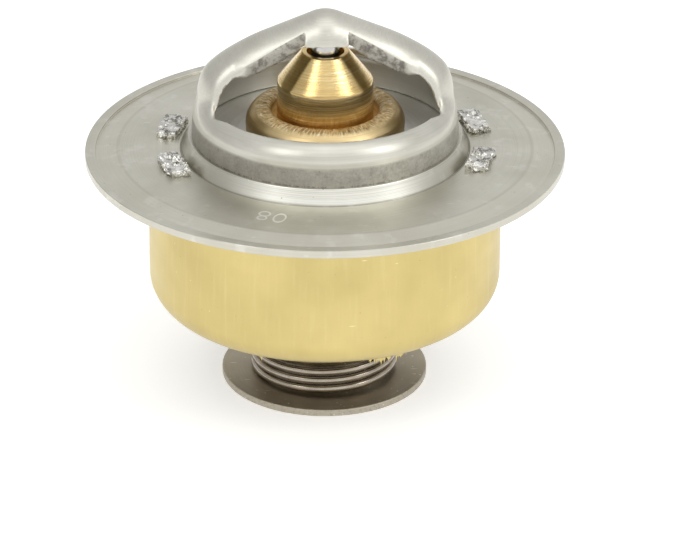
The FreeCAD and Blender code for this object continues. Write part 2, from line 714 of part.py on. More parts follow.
def stem_clip():
    """Retaining clip under the bypass disc's bush."""
    inner = STEM_R - CLIP_GROOVE
    return open_ring(inner, inner + CLIP_GROOVE + CLIP_W, CLIP_Z, BUSH_END_Z, CLIP_SLOT)


def bypass_bush():
    """Bush riveted through the middle of the bypass disc."""
    flange_r = BUSH_R + BUSH_FLANGE_W
    bush = tube(BUSH_R, STEM_BORE_R, BUSH_END_Z, HUB_TOP_Z + BUSH_FLANGE_T)
    for low in (BUSH_END_Z, HUB_TOP_Z):
        bush = bush.fuse(tube(flange_r, STEM_BORE_R, low, low + BUSH_FLANGE_T))
    return bush.removeSplitter()


def bypass_disc():
    """Bypass valve plate with a raised middle that hides the clip."""
    profile = [
        (BUSH_R, HUB_TOP_Z),
        (BYPASS_HUB_R, HUB_TOP_Z),
        (BYPASS_DISH_R, BYPASS_TOP_Z),
        (BYPASS_R, BYPASS_TOP_Z),
        (BYPASS_R, BYPASS_FACE_Z),
        (BYPASS_DISH_R, BYPASS_FACE_Z),
        (BYPASS_HUB_R, HUB_UNDER_Z),
        (BUSH_R, HUB_UNDER_Z),
    ]
    rings = [(BYPASS_HUB_R, HUB_TOP_Z), (BYPASS_DISH_R, BYPASS_TOP_Z)]
    rings += [(BYPASS_DISH_R, BYPASS_FACE_Z), (BYPASS_HUB_R, HUB_UNDER_Z)]
    return rounded_rings(revolved(profile), DISH_BEND_R, rings)


PIECES = {
    "flange_bridge": flange_bridge,
    "stirrup": stirrup,
    "shroud_cup": shroud_cup,
    "piston": piston,
    "main_spring": main_spring,
    "piston_guide": piston_guide,
    "chafe_ring": chafe_ring,
    "rubber_sleeve": rubber_sleeve,
    "wax_charge": wax_charge,
    "wax_case": wax_case,
    "valve_disc": valve_disc,
    "snap_ring": snap_ring,
    "seat_washer": seat_washer,
    "bypass_spring": bypass_spring,
    "bypass_stem": bypass_stem,
    "stem_clip": stem_clip,
    "bypass_disc": bypass_disc,
    "bypass_bush": bypass_bush,
}

os.makedirs("parts", exist_ok=True)
for name, make in PIECES.items():
    solid = make()
    print(name, len(solid.Solids), "solid", solid.isValid(), round(solid.Volume, 2))
    solid.exportStep("parts/" + name + ".step")
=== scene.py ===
import math
import random
import bmesh
import bpy
import numpy as np
from mathutils import Matrix, Vector, noise


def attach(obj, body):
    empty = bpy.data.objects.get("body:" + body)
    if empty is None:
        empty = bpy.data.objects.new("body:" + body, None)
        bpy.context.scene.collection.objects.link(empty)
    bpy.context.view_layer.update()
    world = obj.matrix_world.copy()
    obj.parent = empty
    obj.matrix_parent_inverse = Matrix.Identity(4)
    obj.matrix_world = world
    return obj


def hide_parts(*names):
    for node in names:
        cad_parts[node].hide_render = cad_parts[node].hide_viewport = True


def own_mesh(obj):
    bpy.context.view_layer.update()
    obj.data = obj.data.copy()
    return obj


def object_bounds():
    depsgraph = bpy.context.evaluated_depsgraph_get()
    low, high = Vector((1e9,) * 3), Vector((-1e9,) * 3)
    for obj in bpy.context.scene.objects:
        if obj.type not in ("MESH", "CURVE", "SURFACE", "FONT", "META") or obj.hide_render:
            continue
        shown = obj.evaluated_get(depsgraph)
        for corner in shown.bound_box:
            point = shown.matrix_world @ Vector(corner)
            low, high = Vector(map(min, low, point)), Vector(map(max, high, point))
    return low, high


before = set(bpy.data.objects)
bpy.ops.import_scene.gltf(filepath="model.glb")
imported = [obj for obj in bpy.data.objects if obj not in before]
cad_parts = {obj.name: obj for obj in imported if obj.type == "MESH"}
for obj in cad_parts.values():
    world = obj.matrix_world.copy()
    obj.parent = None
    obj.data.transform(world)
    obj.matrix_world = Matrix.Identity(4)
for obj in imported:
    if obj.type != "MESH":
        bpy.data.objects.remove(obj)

CAD_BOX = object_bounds()
MM = 0.001

# Camera as fitted to the photo: distance, height and turn in degrees, and where the flange's centre shows
CAMERA_DISTANCE = 650.0
CAMERA_RISE = 24.5
CAMERA_TURN = -3.0
CAMERA_ROLL = 0.2
CAMERA_LENS = 240.0
SENSOR_W = 36.0
PHOTO_W = 698
PHOTO_H = 536
CENTRE_PX = 324.7
CENTRE_PY = 147.3

# Flange and neck, millimetres; the step is where the neck starts below the ledge
FLANGE_R = 33.5
FLANGE_STEPS = 540
FLANGE_EDGE_R = 0.16
SHEET = 1.1
LIP_W = 1.45
LIP_GROOVE = 0.32
SLOPE_W = 4.6
SEAT_W = 2.9
PLATEAU_LIFT = 0.3
PLATEAU_Z = PLATEAU_LIFT + SHEET
COLLAR_R = 18.64
LEDGE_R = 19.1
NECK_FOOT_R = 20.0
FOOT_GROOVE = 0.12
POCKET_R = 18.34
VALVE_SEAT_Z = 3.2
LEDGE_Z = 3.5
LEDGE_H = 0.3
NECK_STEP_W = 0.12
NECK_STEP_H = 0.3

# Collar, bridge and windows, millimetres
SHOULDER_Z = 6.8
SHOULDER_R = 2.55
RIM_R = 16.4
APEX_Z = 21.8
ARCH_R = 4.3
APEX_BEND_R = 5.0
UPPER_SLOPE = math.radians(22.0)
HAUNCH_BEND_R = 30.0
LOWER_SLOPE = math.radians(40.0)
FOOT_BEND_R = 6.0
HAUNCH_R = 9.0
HAUNCH_X = 9.5
STRAP_HALF = 2.65
STRAP_FLARE = 0.117
STRAP_EDGE_LIFT = 0.5
FOOT_LEAN = 0.85
FOOT_LEAN_X = 6
FOOT_LEAN_Z = 10.2
FOOT_LEAN_H = 3.4
FOOT_ROUND = 1.3
FOOT_ROUND_X = 11.2
FOOT_ROUND_RUN = 1.5
FOOT_ROUND_Y = 6.5
FOOT_ROUND_FADE = 2
WINDOW_CORNER_R = 2.0
BOSS_HALF = 3.07
BOSS_END_Z = 17.95
BORE_R = 2.05
BORE_TOP_Z = 20.4
BLEND = 1.4
EDGE_ROUND = 0.2
SPINE_STEPS = 60
VOXEL = 0.21

# Brass guide and crimped case, millimetres
GUIDE_STEPS = 360
GUIDE_EDGE_R = 0.1
GUIDE_CORNER_R = 0.25
GUIDE_R = 6.7
GUIDE_MOUTH_R = 3.3
GUIDE_TOP_Z = 15.8
GUIDE_CONE_Z = 11.5
GUIDE_BASE_Z = 4.9
GUIDE_FLANGE_Z = 5.7
GUIDE_FLANGE_R = 9.2
MOUTH_RECESS_R = 2.6
MOUTH_RECESS_Z = 14.3
CHAFE_RING_R = 3.6
CHAFE_RING_Z = 5.8
CRIMP_R = 11.1
CRIMP_TOP_Z = 7.6
CRIMP_LIP_R = 7.46
CRIMP_ROLL_R = 2.4
CRIMP_NOSE_R = 0.9
WRINKLES = 52.0
WRINKLE_DEPTH = 0.22
WRINKLE_BIAS = 0.3
CASE_STEPS = 760
CASE_EDGE_R = 0.08
CASE_R = 8.9
CASE_END_R = 1.1
CASE_END_Z = -19.5
CAVITY_R = 7.8
CAVITY_END_Z = -16.9
SLEEVE_SEAT_Z = 4.2
STEM_R = 2.6
STEM_SEAT_Z = -17.7
PINHOLE_R = 0.02

# Bypass disc, millimetres
DISC_STEPS = 480
DISC_TOP_EDGE_R = 0.22
DISC_EDGE_R = 0.1
BYPASS_R = 14.55
BYPASS_TOP_Z = -32.7
BYPASS_FACE_Z = -33.7
DISH_BEND_R = 0.6
DISH_R = 8.2
HUB_R = 6.0
HUB_TOP_Z = -30.1
HUB_UNDER_Z = -31.1
BUSH_R = 3.65

# Springs, millimetres
MAIN_COIL_R = 12.5
MAIN_WIRE_R = 0.9
MAIN_LOW_Z = -15.8
MAIN_HIGH_Z = 2.3
MAIN_TURNS = 4.6
BYPASS_COIL_R = 9.9
BYPASS_WIRE_R = 0.6
BYPASS_WIRE_GAP = 0.15
BYPASS_HIGH_Z = -18.75
BYPASS_TURNS = 6.6
BYPASS_CLOSED_TURNS = 3.2
BYPASS_START = math.radians(90)
END_TURNS = 0.9
GROUND_SHARE = 0.45
COIL_STEPS = 64
WIRE_SIDES = 20

# Peened stakes and burrs, millimetres
STAKE_R = 22.2
STAKE_ANGLE = 17.0
STAKE_DEPTH = 1.45
STAKE_WIDTH = 3.25
STAKE_HEIGHT = 0.98
STAKE_BOXY = 8
STAKE_ROUGH = 0.45
STAKE_SINK = 0.05
STAKE_DETAIL = 6
STAKE_CREASE = math.radians(35)
LUMP_SCALE = 0.75
LUMP_HEIGHT = 0.8
LUMP_SHIFTS = (7.3, 3.1, 5.7)
CELL_SCALE = 1.5
CELL_HEIGHT = 1.3
CELL_FLOOR = 0.2
CUP_EDGE_R = 22.0
CUP_EDGE_Z = -21.3
BURR_T = 0.1
BURR_SLANT = 0.2
BURR_FROM = 5.2
BURR_TO = 10.4
BURR_WIDTHS = (0.25, 1.1)
BURR_DROPS = (0.45, 1.25)
BURR_SPACINGS = (0.6, 1.5)
BURR_SEED = 7
LEFT_BURR_X = -9.7
LEFT_BURR_WIDTH = 0.3
LEFT_BURR_DROP = 0.8

# Stamped digits on the flange: distance from the axis and direction
NUMBER_R = 24.5
NUMBER_TURN = math.radians(-110)

# Where finishes, painted shade, painted highlights and a painted reflection change, millimetres: a pair is
# where a soft edge starts and ends
WALL_TOP_Z = (5.9, 6.5)
WALL_R = (17.5, 18.1)
# WALL_SHADE_X is where the painted shade on the collar wall's left fades out
WALL_SHADE_X = (-14.0, 0.0)
SLIT_R = (15.0, 16.0)
SLIT_Z = (9.0, 10.0)
SLIT_END_X = (10.6, 11.4)
RIM_LOW_Z = (6.5, 7.5)
RIM_HIGH_Z = (9.5, 10.5)
# INNER_R and INNER_TOP_Z bound the painted shade inside the collar
INNER_R = (17.45, 17.6)
INNER_TOP_Z = (7.6, 8.2)
NECK_Z = (1.35, 1.6)
# NECK_SHADE_X is where the neck's painted highlight gives way to painted shade
NECK_SHADE_X = (7.0, 16.0)
LIP_EDGE_Z = (0.8, 1.05)
SMEAR_X = -22.0
SMEAR_Y = -2.9
SMEAR_STRETCH = 2.2
CRIMP_INNER_R = (9.2, 10.3)
CRIMP_UPPER_Z = (6.4, 7.0)
# CRIMP_REFLECTION_Z is where the painted reflection on the guide fades out
CRIMP_REFLECTION_Z = (7.2, 9.5)

# Colours of wear and dirt
BRIGHT_WEAR = (0.95, 0.94, 0.88)
BRIGHT_SCRATCH = (0.96, 0.95, 0.90)
DARK_DIRT = (0.18, 0.16, 0.13)
DARK_TICK = (0.16, 0.14, 0.11)

# How much the streaks and specks of a metal change its roughness, and their mean
STREAK_ROUGH = 0.22
SPECK_ROUGH = 0.10
MEAN_ROUGH = 0.16

# Floor: half its width in metres, gap under the part in millimetres, and its finish and glow
FLOOR_HALF = 3.0
FLOOR_GAP = 0.02
FLOOR_TONE = 0.93
FLOOR_ROUGH = 0.8
FLOOR_GLOW = 0.36

# Lights: place in metres, width and height in metres, and power in watts
KEY_LEFT = ((-0.42, -0.40, 0.50), (0.22, 0.42), 0.8)
KEY_RIGHT = ((0.48, -0.30, 0.45), (0.18, 0.42), 0.85)
OVERHEAD = ((0.0, -0.05, 0.75), (0.6, 0.45), 0.5)


# Meshes and pieces

def add_piece(name, mesh, body, material, replaced=()):
    """Link a mesh as a piece that rides on a body, and hide the CAD nodes it stands for."""
    piece = bpy.data.objects.new(name, mesh)
    bpy.context.scene.collection.objects.link(piece)
    mesh.materials.append(material)
    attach(piece, body)
    if replaced:
        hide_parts(*replaced)
    return piece


def make_mesh(name, verts, faces, crease=math.radians(40)):
    """Smooth mesh from millimetre points, with sharp edges where it turns more than the crease."""
    mesh = bpy.data.meshes.new(name)
    mesh.from_pydata((np.asarray(verts) * MM).tolist(), [], faces)
    mesh.update()
    mesh.shade_smooth()
    mesh.set_sharp_from_angle(angle=crease)
    return mesh


def softened(corners, radius, steps=4):
    """Closed (r, z) outline with rounded corners; a corner's third number is its own radius."""
    points = []
    count = len(corners)
    for index, corner in enumerate(corners):
        here = Vector(corner[:2])
        before = Vector(corners[index - 1][:2]) - here
        after = Vector(corners[(index + 1) % count][:2]) - here
        wanted = corner[2] if len(corner) > 2 else radius
        reach = min(wanted, before.length * 0.45, after.length * 0.45)
        start = here + before.normalized() * reach
        end = here + after.normalized() * reach
        support = reach * 0.25
        points.append(start + before.normalized() * support)
        for step in range(steps + 1):
            t = step / steps
            points.append(start * (1 - t) ** 2 + here * 2 * t * (1 - t) + end * t ** 2)
        points.append(end + after.normalized() * support)
    return [(point.x, point.y) for point in points]


def lathe(name, outline, steps, shift=None):
    """Closed clockwise (r, z) outline turned about the axis; shift may move the points by angle."""
    ring = np.array(outline)
    angles = np.linspace(0, 2 * math.pi, steps, endpoint=False)
    r = np.repeat(ring[None, :, 0], steps, axis=0)
    z = np.repeat(ring[None, :, 1], steps, axis=0)
    turn = np.repeat(angles[:, None], len(ring), axis=1)
    if shift is not None:
        r, z = shift(r, z, turn)
    verts = np.stack([r * np.cos(turn), r * np.sin(turn), z], axis=-1).reshape(-1, 3)
    i = np.arange(steps)[:, None]
    j = np.arange(len(ring))[None, :]
    i_next = (i + 1) % steps
    j_next = (j + 1) % len(ring)
    count = len(ring)
    corners = [i * count + j, i * count + j_next, i_next * count + j_next, i_next * count + j]
    return make_mesh(name, verts, np.stack(corners, axis=-1).reshape(-1, 4).tolist())


def surface_net(field, low, step):
    """Mesh the zero surface of a sampled field; negative values are inside."""
    cells = tuple(size - 1 for size in field.shape)
    points = []
    owners = []
    flips = []
    units = np.eye(3, dtype=int)
    for axis in range(3):
        unit, across, up = units[axis], units[(axis + 1) % 3], units[(axis + 2) % 3]
        first = np.moveaxis(field, axis, 0)[:-1] < 0
        second = np.moveaxis(field, axis, 0)[1:] < 0
        hit = np.argwhere(np.moveaxis(first != second, 0, axis))
        value = field[tuple(hit.T)]
        beyond = field[tuple((hit + unit).T)]
        points.append(hit + unit * (value / (value - beyond))[:, None])
        ring = [hit, hit - across, hit - across - up, hit - up]
        owners.append(np.stack([np.ravel_multi_index(tuple(cell.T), cells) for cell in ring], axis=1))
        flips.append(value >= 0)
    points = np.concatenate(points)
    owners = np.concatenate(owners)
    flips = np.concatenate(flips)
    _, index = np.unique(owners.ravel(), return_inverse=True)
    weight = np.bincount(index)
    spread = np.repeat(points, 4, axis=0)
    verts = np.stack([np.bincount(index, spread[:, axis]) / weight for axis in range(3)], axis=1)
    faces = index.reshape(-1, 4)
    faces[flips] = faces[flips][:, ::-1]
    return verts * step + low, faces


def settle(verts, field, rounds=3, reach=0.05):
    """Move points onto the zero surface of a field function by gradient steps."""
    verts = verts.copy()
    for _ in range(rounds):
        value = field(verts)
        slope = np.empty_like(verts)
        for axis in range(3):
            nudge = np.zeros(3)
            nudge[axis] = reach / 5
            slope[:, axis] = (field(verts + nudge) - field(verts - nudge)) / (2 * reach / 5)
        length = np.maximum((slope ** 2).sum(axis=1), 0.2)
        move = -(value / length)[:, None] * slope
        size = np.maximum(np.linalg.norm(move, axis=1), 1e-9)
        verts += move * np.minimum(1, reach / size)[:, None]
    return verts


# Collar and bridge as one drawn sheet

def soft_min(a, b, blend):
    share = np.clip(0.5 + 0.5 * (b - a) / blend, 0, 1)
    return b + (a - b) * share - blend * share * (1 - share)


def soft_max(a, b, blend):
    return -soft_min(-a, -b, blend)


def arch_bends():
    """Centres, radii and angles of the arch's centre line on its right half."""
    apex_r = APEX_BEND_R - ARCH_R
    haunch_r = HAUNCH_BEND_R - ARCH_R
    foot_r = FOOT_BEND_R - ARCH_R
    foot_x = COLLAR_R - ARCH_R
    bends = apex_r * math.sin(UPPER_SLOPE) + foot_r * (1 - math.sin(LOWER_SLOPE))
    bends += haunch_r * (math.sin(LOWER_SLOPE) - math.sin(UPPER_SLOPE))
    run = (foot_x - bends) / math.cos(UPPER_SLOPE)
    upper = Vector((math.sin(UPPER_SLOPE), math.cos(UPPER_SLOPE)))
    lower = Vector((math.sin(LOWER_SLOPE), math.cos(LOWER_SLOPE)))
    apex_c = Vector((0, APEX_Z - APEX_BEND_R))
    apex_end = apex_c + upper * apex_r
    run_end = apex_end + Vector((math.cos(UPPER_SLOPE), -math.sin(UPPER_SLOPE))) * run
    haunch_c = run_end - upper * haunch_r
    foot_c = haunch_c + lower * (haunch_r - foot_r)
    return {
        "apex": (apex_c, apex_r, math.pi / 2 - UPPER_SLOPE, math.pi / 2),
        "haunch": (haunch_c, haunch_r, math.pi / 2 - LOWER_SLOPE, math.pi / 2 - UPPER_SLOPE),
        "foot": (foot_c, foot_r, 0, math.pi / 2 - LOWER_SLOPE),
        "run": (apex_end, run_end),
        "leg": (Vector((foot_x, foot_c.y)), Vector((foot_x, -APEX_Z))),
    }


ARCH = arch_bends()


def to_arc(x, z, bend):
    centre, radius, low, high = bend
    angle = np.clip(np.arctan2(z - centre.y, x - centre.x), low, high)
    return np.hypot(x - centre.x - radius * np.cos(angle), z - centre.y - radius * np.sin(angle))


def to_line(x, z, ends):
    start, end = ends
    along = end - start
    share = ((x - start.x) * along.x + (z - start.y) * along.y) / along.length_squared
    share = np.clip(share, 0, 1)
    return np.hypot(x - start.x - share * along.x, z - start.y - share * along.y)


def to_spine(x, z):
    """Distance in the XZ plane to the arch's centre line, and whether a point is under it."""
    x = np.abs(x)
    away = np.minimum(to_arc(x, z, ARCH["apex"]), to_arc(x, z, ARCH["haunch"]))
    away = np.minimum(away, to_arc(x, z, ARCH["foot"]))
    away = np.minimum(away, to_line(x, z, ARCH["run"]))
    away = np.minimum(away, to_line(x, z, ARCH["leg"]))
    xs = []
    zs = []
    for name in ("apex", "haunch", "foot"):
        centre, radius, low, high = ARCH[name]
        for angle in np.linspace(high, low, SPINE_STEPS):
            xs.append(centre.x + radius * math.cos(angle))
            zs.append(centre.y + radius * math.sin(angle))
    under = (z < np.interp(x, xs, zs)) & (x < xs[-1])
    return away, under


def leaned(x, z):
    """Draw the arch's feet in towards the axis at mid height."""
    lean = FOOT_LEAN * np.exp(-((z - FOOT_LEAN_Z) / FOOT_LEAN_H) ** 2)
    return x + np.sign(x) * lean * np.clip((np.abs(x) - FOOT_LEAN_X) / FOOT_LEAN_X, 0, 1)


def outer_form(x, y, z):
    """Collar, arch and haunches, blended into one outer skin."""
    x = leaned(x, z)
    r = np.hypot(x, y)
    q_r = r - (COLLAR_R - SHOULDER_R)
    q_z = z - SHOULDER_Z
    collar = np.hypot(np.maximum(q_r, 0), np.maximum(q_z, 0)) - SHOULDER_R
    collar += np.minimum(np.maximum(q_r, q_z), 0)
    away, under = to_spine(x, z)
    bar = np.hypot(away, y) - ARCH_R
    haunch = np.sqrt((np.abs(x) - HAUNCH_X) ** 2 + y ** 2 + (z - SHOULDER_Z) ** 2) - HAUNCH_R
    form = soft_min(bar, haunch, BLEND)
    form = np.maximum(soft_min(collar, form, BLEND), r - COLLAR_R)
    lift = STRAP_EDGE_LIFT * np.clip((z - SHOULDER_Z) / SHOULDER_R - 1, 0, 1)
    void = np.maximum(np.where(under, -away, away) - lift, np.abs(y) - ARCH_R - EDGE_ROUND)
    return form, void


def window_form(x, y, z):
    """Punched windows: the rim circle cut off along the strap's edges, with round corners."""
    round_r = WINDOW_CORNER_R
    to_rim = np.hypot(x, y) - RIM_R + round_r
    edge_y = STRAP_HALF + STRAP_FLARE * np.sqrt(x ** 2 + EDGE_ROUND)
    to_strap = (edge_y - np.abs(y)) / math.hypot(1, STRAP_FLARE) + round_r
    hole = np.hypot(np.maximum(to_rim, 0), np.maximum(to_strap, 0)) - round_r
    hole += np.minimum(np.maximum(to_rim, to_strap), 0)
    return np.maximum(hole, VALVE_SEAT_Z + SHEET - z)


def bridge_field(points):
    """Signed field of the drawn sheet with its windows, boss and bore."""
    x, y, z = points[..., 0], points[..., 1], points[..., 2]
    form, void = outer_form(x, y, z)
    sheet = np.abs(form + SHEET / 2) - SHEET / 2
    sheet = np.maximum(sheet, -void)
    at_foot = np.clip((np.abs(x) - FOOT_ROUND_X) / FOOT_ROUND_RUN, 0, 1)
    at_foot *= np.clip((FOOT_ROUND_Y + FOOT_ROUND_FADE - np.abs(y)) / FOOT_ROUND_FADE, 0, 1)
    sheet = soft_max(sheet, -window_form(x, y, z), EDGE_ROUND + FOOT_ROUND * at_foot)
    boss = soft_max(np.maximum(np.abs(x) - BOSS_HALF, BOSS_END_Z - z), form, EDGE_ROUND)
    sheet = np.minimum(sheet, boss)
    sheet = np.maximum(sheet, -np.maximum(np.hypot(x, y) - BORE_R, z - BORE_TOP_Z))
    return np.maximum(sheet, VALVE_SEAT_Z - z)


def sampled(field, low, high, step):
    """Values of a field function on a grid, one layer at a time."""
    axes = [np.arange(a, b, step) for a, b in zip(low, high)]
    values = np.empty([len(axis) for axis in axes], np.float32)
    y, z = np.meshgrid(axes[1], axes[2], indexing="ij")
    for index, x in enumerate(axes[0]):
        layer = np.stack([np.full_like(y, x), y, z], axis=-1)
        values[index] = field(layer)
    return values


def collar_and_bridge(material):
    reach = COLLAR_R + 2 * VOXEL
    low = np.array([-reach, -reach, VALVE_SEAT_Z - 2 * VOXEL])
    high = np.array([reach, reach, APEX_Z + 2 * VOXEL])
    values = sampled(bridge_field, low, high, VOXEL)
    verts, faces = surface_net(values, low, VOXEL)
    verts = settle(verts, bridge_field)
    mesh = make_mesh("collar_and_bridge", verts, faces.tolist(), math.radians(50))
    return add_piece("collar_and_bridge", mesh, "housing", material, ["flange_bridge"])


# Flange with its neck

def flange_outline():
    lip_in_r = FLANGE_R - LIP_W
    seat_in_r = FLANGE_R - SEAT_W
    corners = [
        (POCKET_R, LEDGE_Z),
        (LEDGE_R, LEDGE_Z),
        (LEDGE_R + NECK_STEP_W, LEDGE_Z - NECK_STEP_H),
        (NECK_FOOT_R, PLATEAU_Z),
        (NECK_FOOT_R + FOOT_GROOVE, PLATEAU_Z - FOOT_GROOVE),
        (NECK_FOOT_R + 2 * FOOT_GROOVE, PLATEAU_Z),
        (FLANGE_R - SLOPE_W, PLATEAU_Z),
        (lip_in_r, SHEET - LIP_GROOVE),
        (lip_in_r, SHEET),
        (FLANGE_R, SHEET),
        (FLANGE_R, 0),
        (seat_in_r, 0),
        (seat_in_r - PLATEAU_LIFT, PLATEAU_LIFT),
        (POCKET_R + SHEET, PLATEAU_LIFT),
        (POCKET_R, PLATEAU_LIFT + SHEET),
    ]
    return softened(corners, FLANGE_EDGE_R)


def flange(material):
    mesh = lathe("flange", flange_outline(), FLANGE_STEPS)
    return add_piece("flange", mesh, "housing", material, ["flange_bridge"])


# Turned and pressed pieces of the valve

def guide(material):
    corners = [
        (CHAFE_RING_R, GUIDE_BASE_Z),
        (CHAFE_RING_R, CHAFE_RING_Z),
        (BORE_R, CHAFE_RING_Z),
        (BORE_R, MOUTH_RECESS_Z),
        (MOUTH_RECESS_R, MOUTH_RECESS_Z),
        (MOUTH_RECESS_R, GUIDE_TOP_Z),
        (GUIDE_MOUTH_R, GUIDE_TOP_Z),
        (GUIDE_R, GUIDE_CONE_Z, GUIDE_CORNER_R),
        (GUIDE_R, GUIDE_FLANGE_Z),
        (GUIDE_FLANGE_R, GUIDE_FLANGE_Z),
        (GUIDE_FLANGE_R, GUIDE_BASE_Z),
    ]
    mesh = lathe("guide", softened(corners, GUIDE_EDGE_R), GUIDE_STEPS)
    return add_piece("guide", mesh, "element", material, ["piston_guide"])


def arc_points(centre_r, centre_z, radius, start, end, steps=14):
    points = []
    for angle in np.radians(np.linspace(start, end, steps)):
        points.append((centre_r + radius * math.cos(angle), centre_z + radius * math.sin(angle)))
    return points


def wrinkled(r, z, turn):
    """Radial wrinkles where the rim is rolled in over the guide's flange."""
    on_nose = np.clip((CRIMP_LIP_R + 3 * CRIMP_NOSE_R - r) / CRIMP_NOSE_R, 0, 1)
    on_top = np.clip((z - CRIMP_TOP_Z + CRIMP_NOSE_R) / CRIMP_NOSE_R * 2, 0, 1)
    depth = np.zeros_like(z)
    for i, j in np.argwhere(on_nose * on_top > 0):
        where = Vector((WRINKLES * math.cos(turn[i, j]), WRINKLES * math.sin(turn[i, j]), r[i, j] * 0.5))
        depth[i, j] = max(0.0, WRINKLE_BIAS + noise.noise(where))
    return r, z - WRINKLE_DEPTH * depth * on_nose * on_top


def case(material):
    """Brass case whose rim is rolled in over the guide's flange."""
    roll_r = CRIMP_R - CRIMP_ROLL_R
    nose_r = CRIMP_LIP_R + CRIMP_NOSE_R
    outline = arc_points(nose_r, CRIMP_TOP_Z - CRIMP_NOSE_R, CRIMP_NOSE_R, 180, 90)
    outline += arc_points(roll_r, CRIMP_TOP_Z - CRIMP_ROLL_R, CRIMP_ROLL_R, 90, 0)
    corners = [
        (CRIMP_R, VALVE_SEAT_Z),
        (CASE_R, VALVE_SEAT_Z),
        (CASE_R, CASE_END_Z, CASE_END_R),
        (STEM_R, CASE_END_Z),
        (STEM_R, STEM_SEAT_Z),
        (PINHOLE_R, STEM_SEAT_Z),
        (PINHOLE_R, CAVITY_END_Z),
        (CAVITY_R, CAVITY_END_Z),
        (CAVITY_R, SLEEVE_SEAT_Z),
        (GUIDE_FLANGE_R, SLEEVE_SEAT_Z),
        (GUIDE_FLANGE_R, GUIDE_FLANGE_Z),
        (CRIMP_LIP_R, GUIDE_FLANGE_Z),
    ]
    outline += softened(corners, CASE_EDGE_R)
    mesh = lathe("case", outline, CASE_STEPS, wrinkled)
    return add_piece("case", mesh, "element", material, ["wax_case"])


def disc(material):
    corners = [
        (BUSH_R, HUB_UNDER_Z),
        (BUSH_R, HUB_TOP_Z),
        (HUB_R, HUB_TOP_Z, DISH_BEND_R),
        (DISH_R, BYPASS_TOP_Z, DISH_BEND_R),
        (BYPASS_R, BYPASS_TOP_Z, DISC_TOP_EDGE_R),
        (BYPASS_R, BYPASS_FACE_Z),
        (DISH_R, BYPASS_FACE_Z, DISH_BEND_R),
        (HUB_R, HUB_UNDER_Z, DISH_BEND_R),
    ]
    mesh = lathe("disc", softened(corners, DISC_EDGE_R), DISC_STEPS)
    return add_piece("disc", mesh, "bypass", material, ["bypass_disc"])


# Springs

def coil_heights(low, high, turns, closed, pitch, count):
    """Height of the wire at each step: closed turns at both ends, open ones between."""
    open_turns = turns - closed - END_TURNS
    open_pitch = (high - low - (closed + END_TURNS) * pitch) / open_turns
    turn = np.linspace(0, turns, count)
    opened = np.clip(turn - closed, 0, open_turns)
    return low + (turn - opened) * pitch + opened * open_pitch


def coil_mesh(name, coil_r, wire_r, low, high, turns, closed, pitch, start):
    """Round wire wound into a spring whose ends are ground flat at low and high."""
    count = int(turns * COIL_STEPS) + 1
    inset = wire_r * (1 - GROUND_SHARE)
    heights = coil_heights(low + inset, high - inset, turns, closed, pitch, count)
    angles = start + np.linspace(0, 2 * math.pi * turns, count)
    out = np.stack([np.cos(angles), np.sin(angles), np.zeros(count)], axis=-1)
    path = out * coil_r + heights[:, None] * np.array([0, 0, 1])
    along = np.gradient(path, axis=0)
    along /= np.linalg.norm(along, axis=1)[:, None]
    up = np.cross(out, along)
    turn = np.linspace(0, 2 * math.pi, WIRE_SIDES, endpoint=False)[None, :, None]
    verts = path[:, None] + wire_r * (np.cos(turn) * out[:, None] + np.sin(turn) * up[:, None])
    verts[..., 2] = np.clip(verts[..., 2], low, high)
    i = np.arange(count - 1)[:, None] * WIRE_SIDES
    j = np.arange(WIRE_SIDES)[None, :]
    j_next = (j + 1) % WIRE_SIDES
    corners = [i + j, i + WIRE_SIDES + j, i + WIRE_SIDES + j_next, i + j_next]
    faces = np.stack(corners, axis=-1).reshape(-1, 4).tolist()
    last = (count - 1) * WIRE_SIDES
    faces += [list(range(WIRE_SIDES)), list(range(last + WIRE_SIDES - 1, last - 1, -1))]
    return make_mesh(name, verts.reshape(-1, 3), faces)


def shortened_by(piece):
    """Give a spring its own copy of its mesh."""
    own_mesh(piece)


def return_spring(material):
    """Spring between the stirrup's plate and the main valve."""
    mesh = coil_mesh("return_spring", MAIN_COIL_R, MAIN_WIRE_R, MAIN_LOW_Z, MAIN_HIGH_Z,
                     MAIN_TURNS, END_TURNS, 2 * MAIN_WIRE_R, 0.0)
    piece = add_piece("return_spring", mesh, "housing", material, ["main_spring"])
    shortened_by(piece)


def disc_spring(material):
    """Light spring between the seat washer and the bypass disc."""
    mesh = coil_mesh("disc_spring", BYPASS_COIL_R, BYPASS_WIRE_R, BYPASS_TOP_Z, BYPASS_HIGH_Z,
                     BYPASS_TURNS, BYPASS_CLOSED_TURNS, 2 * BYPASS_WIRE_R + BYPASS_WIRE_GAP, BYPASS_START)
    piece = add_piece("disc_spring", mesh, "element", material, ["bypass_spring"])
    shortened_by(piece)


# Rough peened metal

def crumbled(point, seed):
    """Height of the torn metal on a stake's head: soft lumps cut by the edges of cells."""
    where = Vector(point) * LUMP_SCALE + Vector([seed * shift for shift in LUMP_SHIFTS])
    lumps = noise.fractal(where, 0.8, 2.1, 4)
    distances, _ = noise.voronoi(where * CELL_SCALE)
    cells = distances[1] - distances[0]
    return max(-STAKE_SINK, lumps * LUMP_HEIGHT + cells * CELL_HEIGHT - CELL_FLOOR)


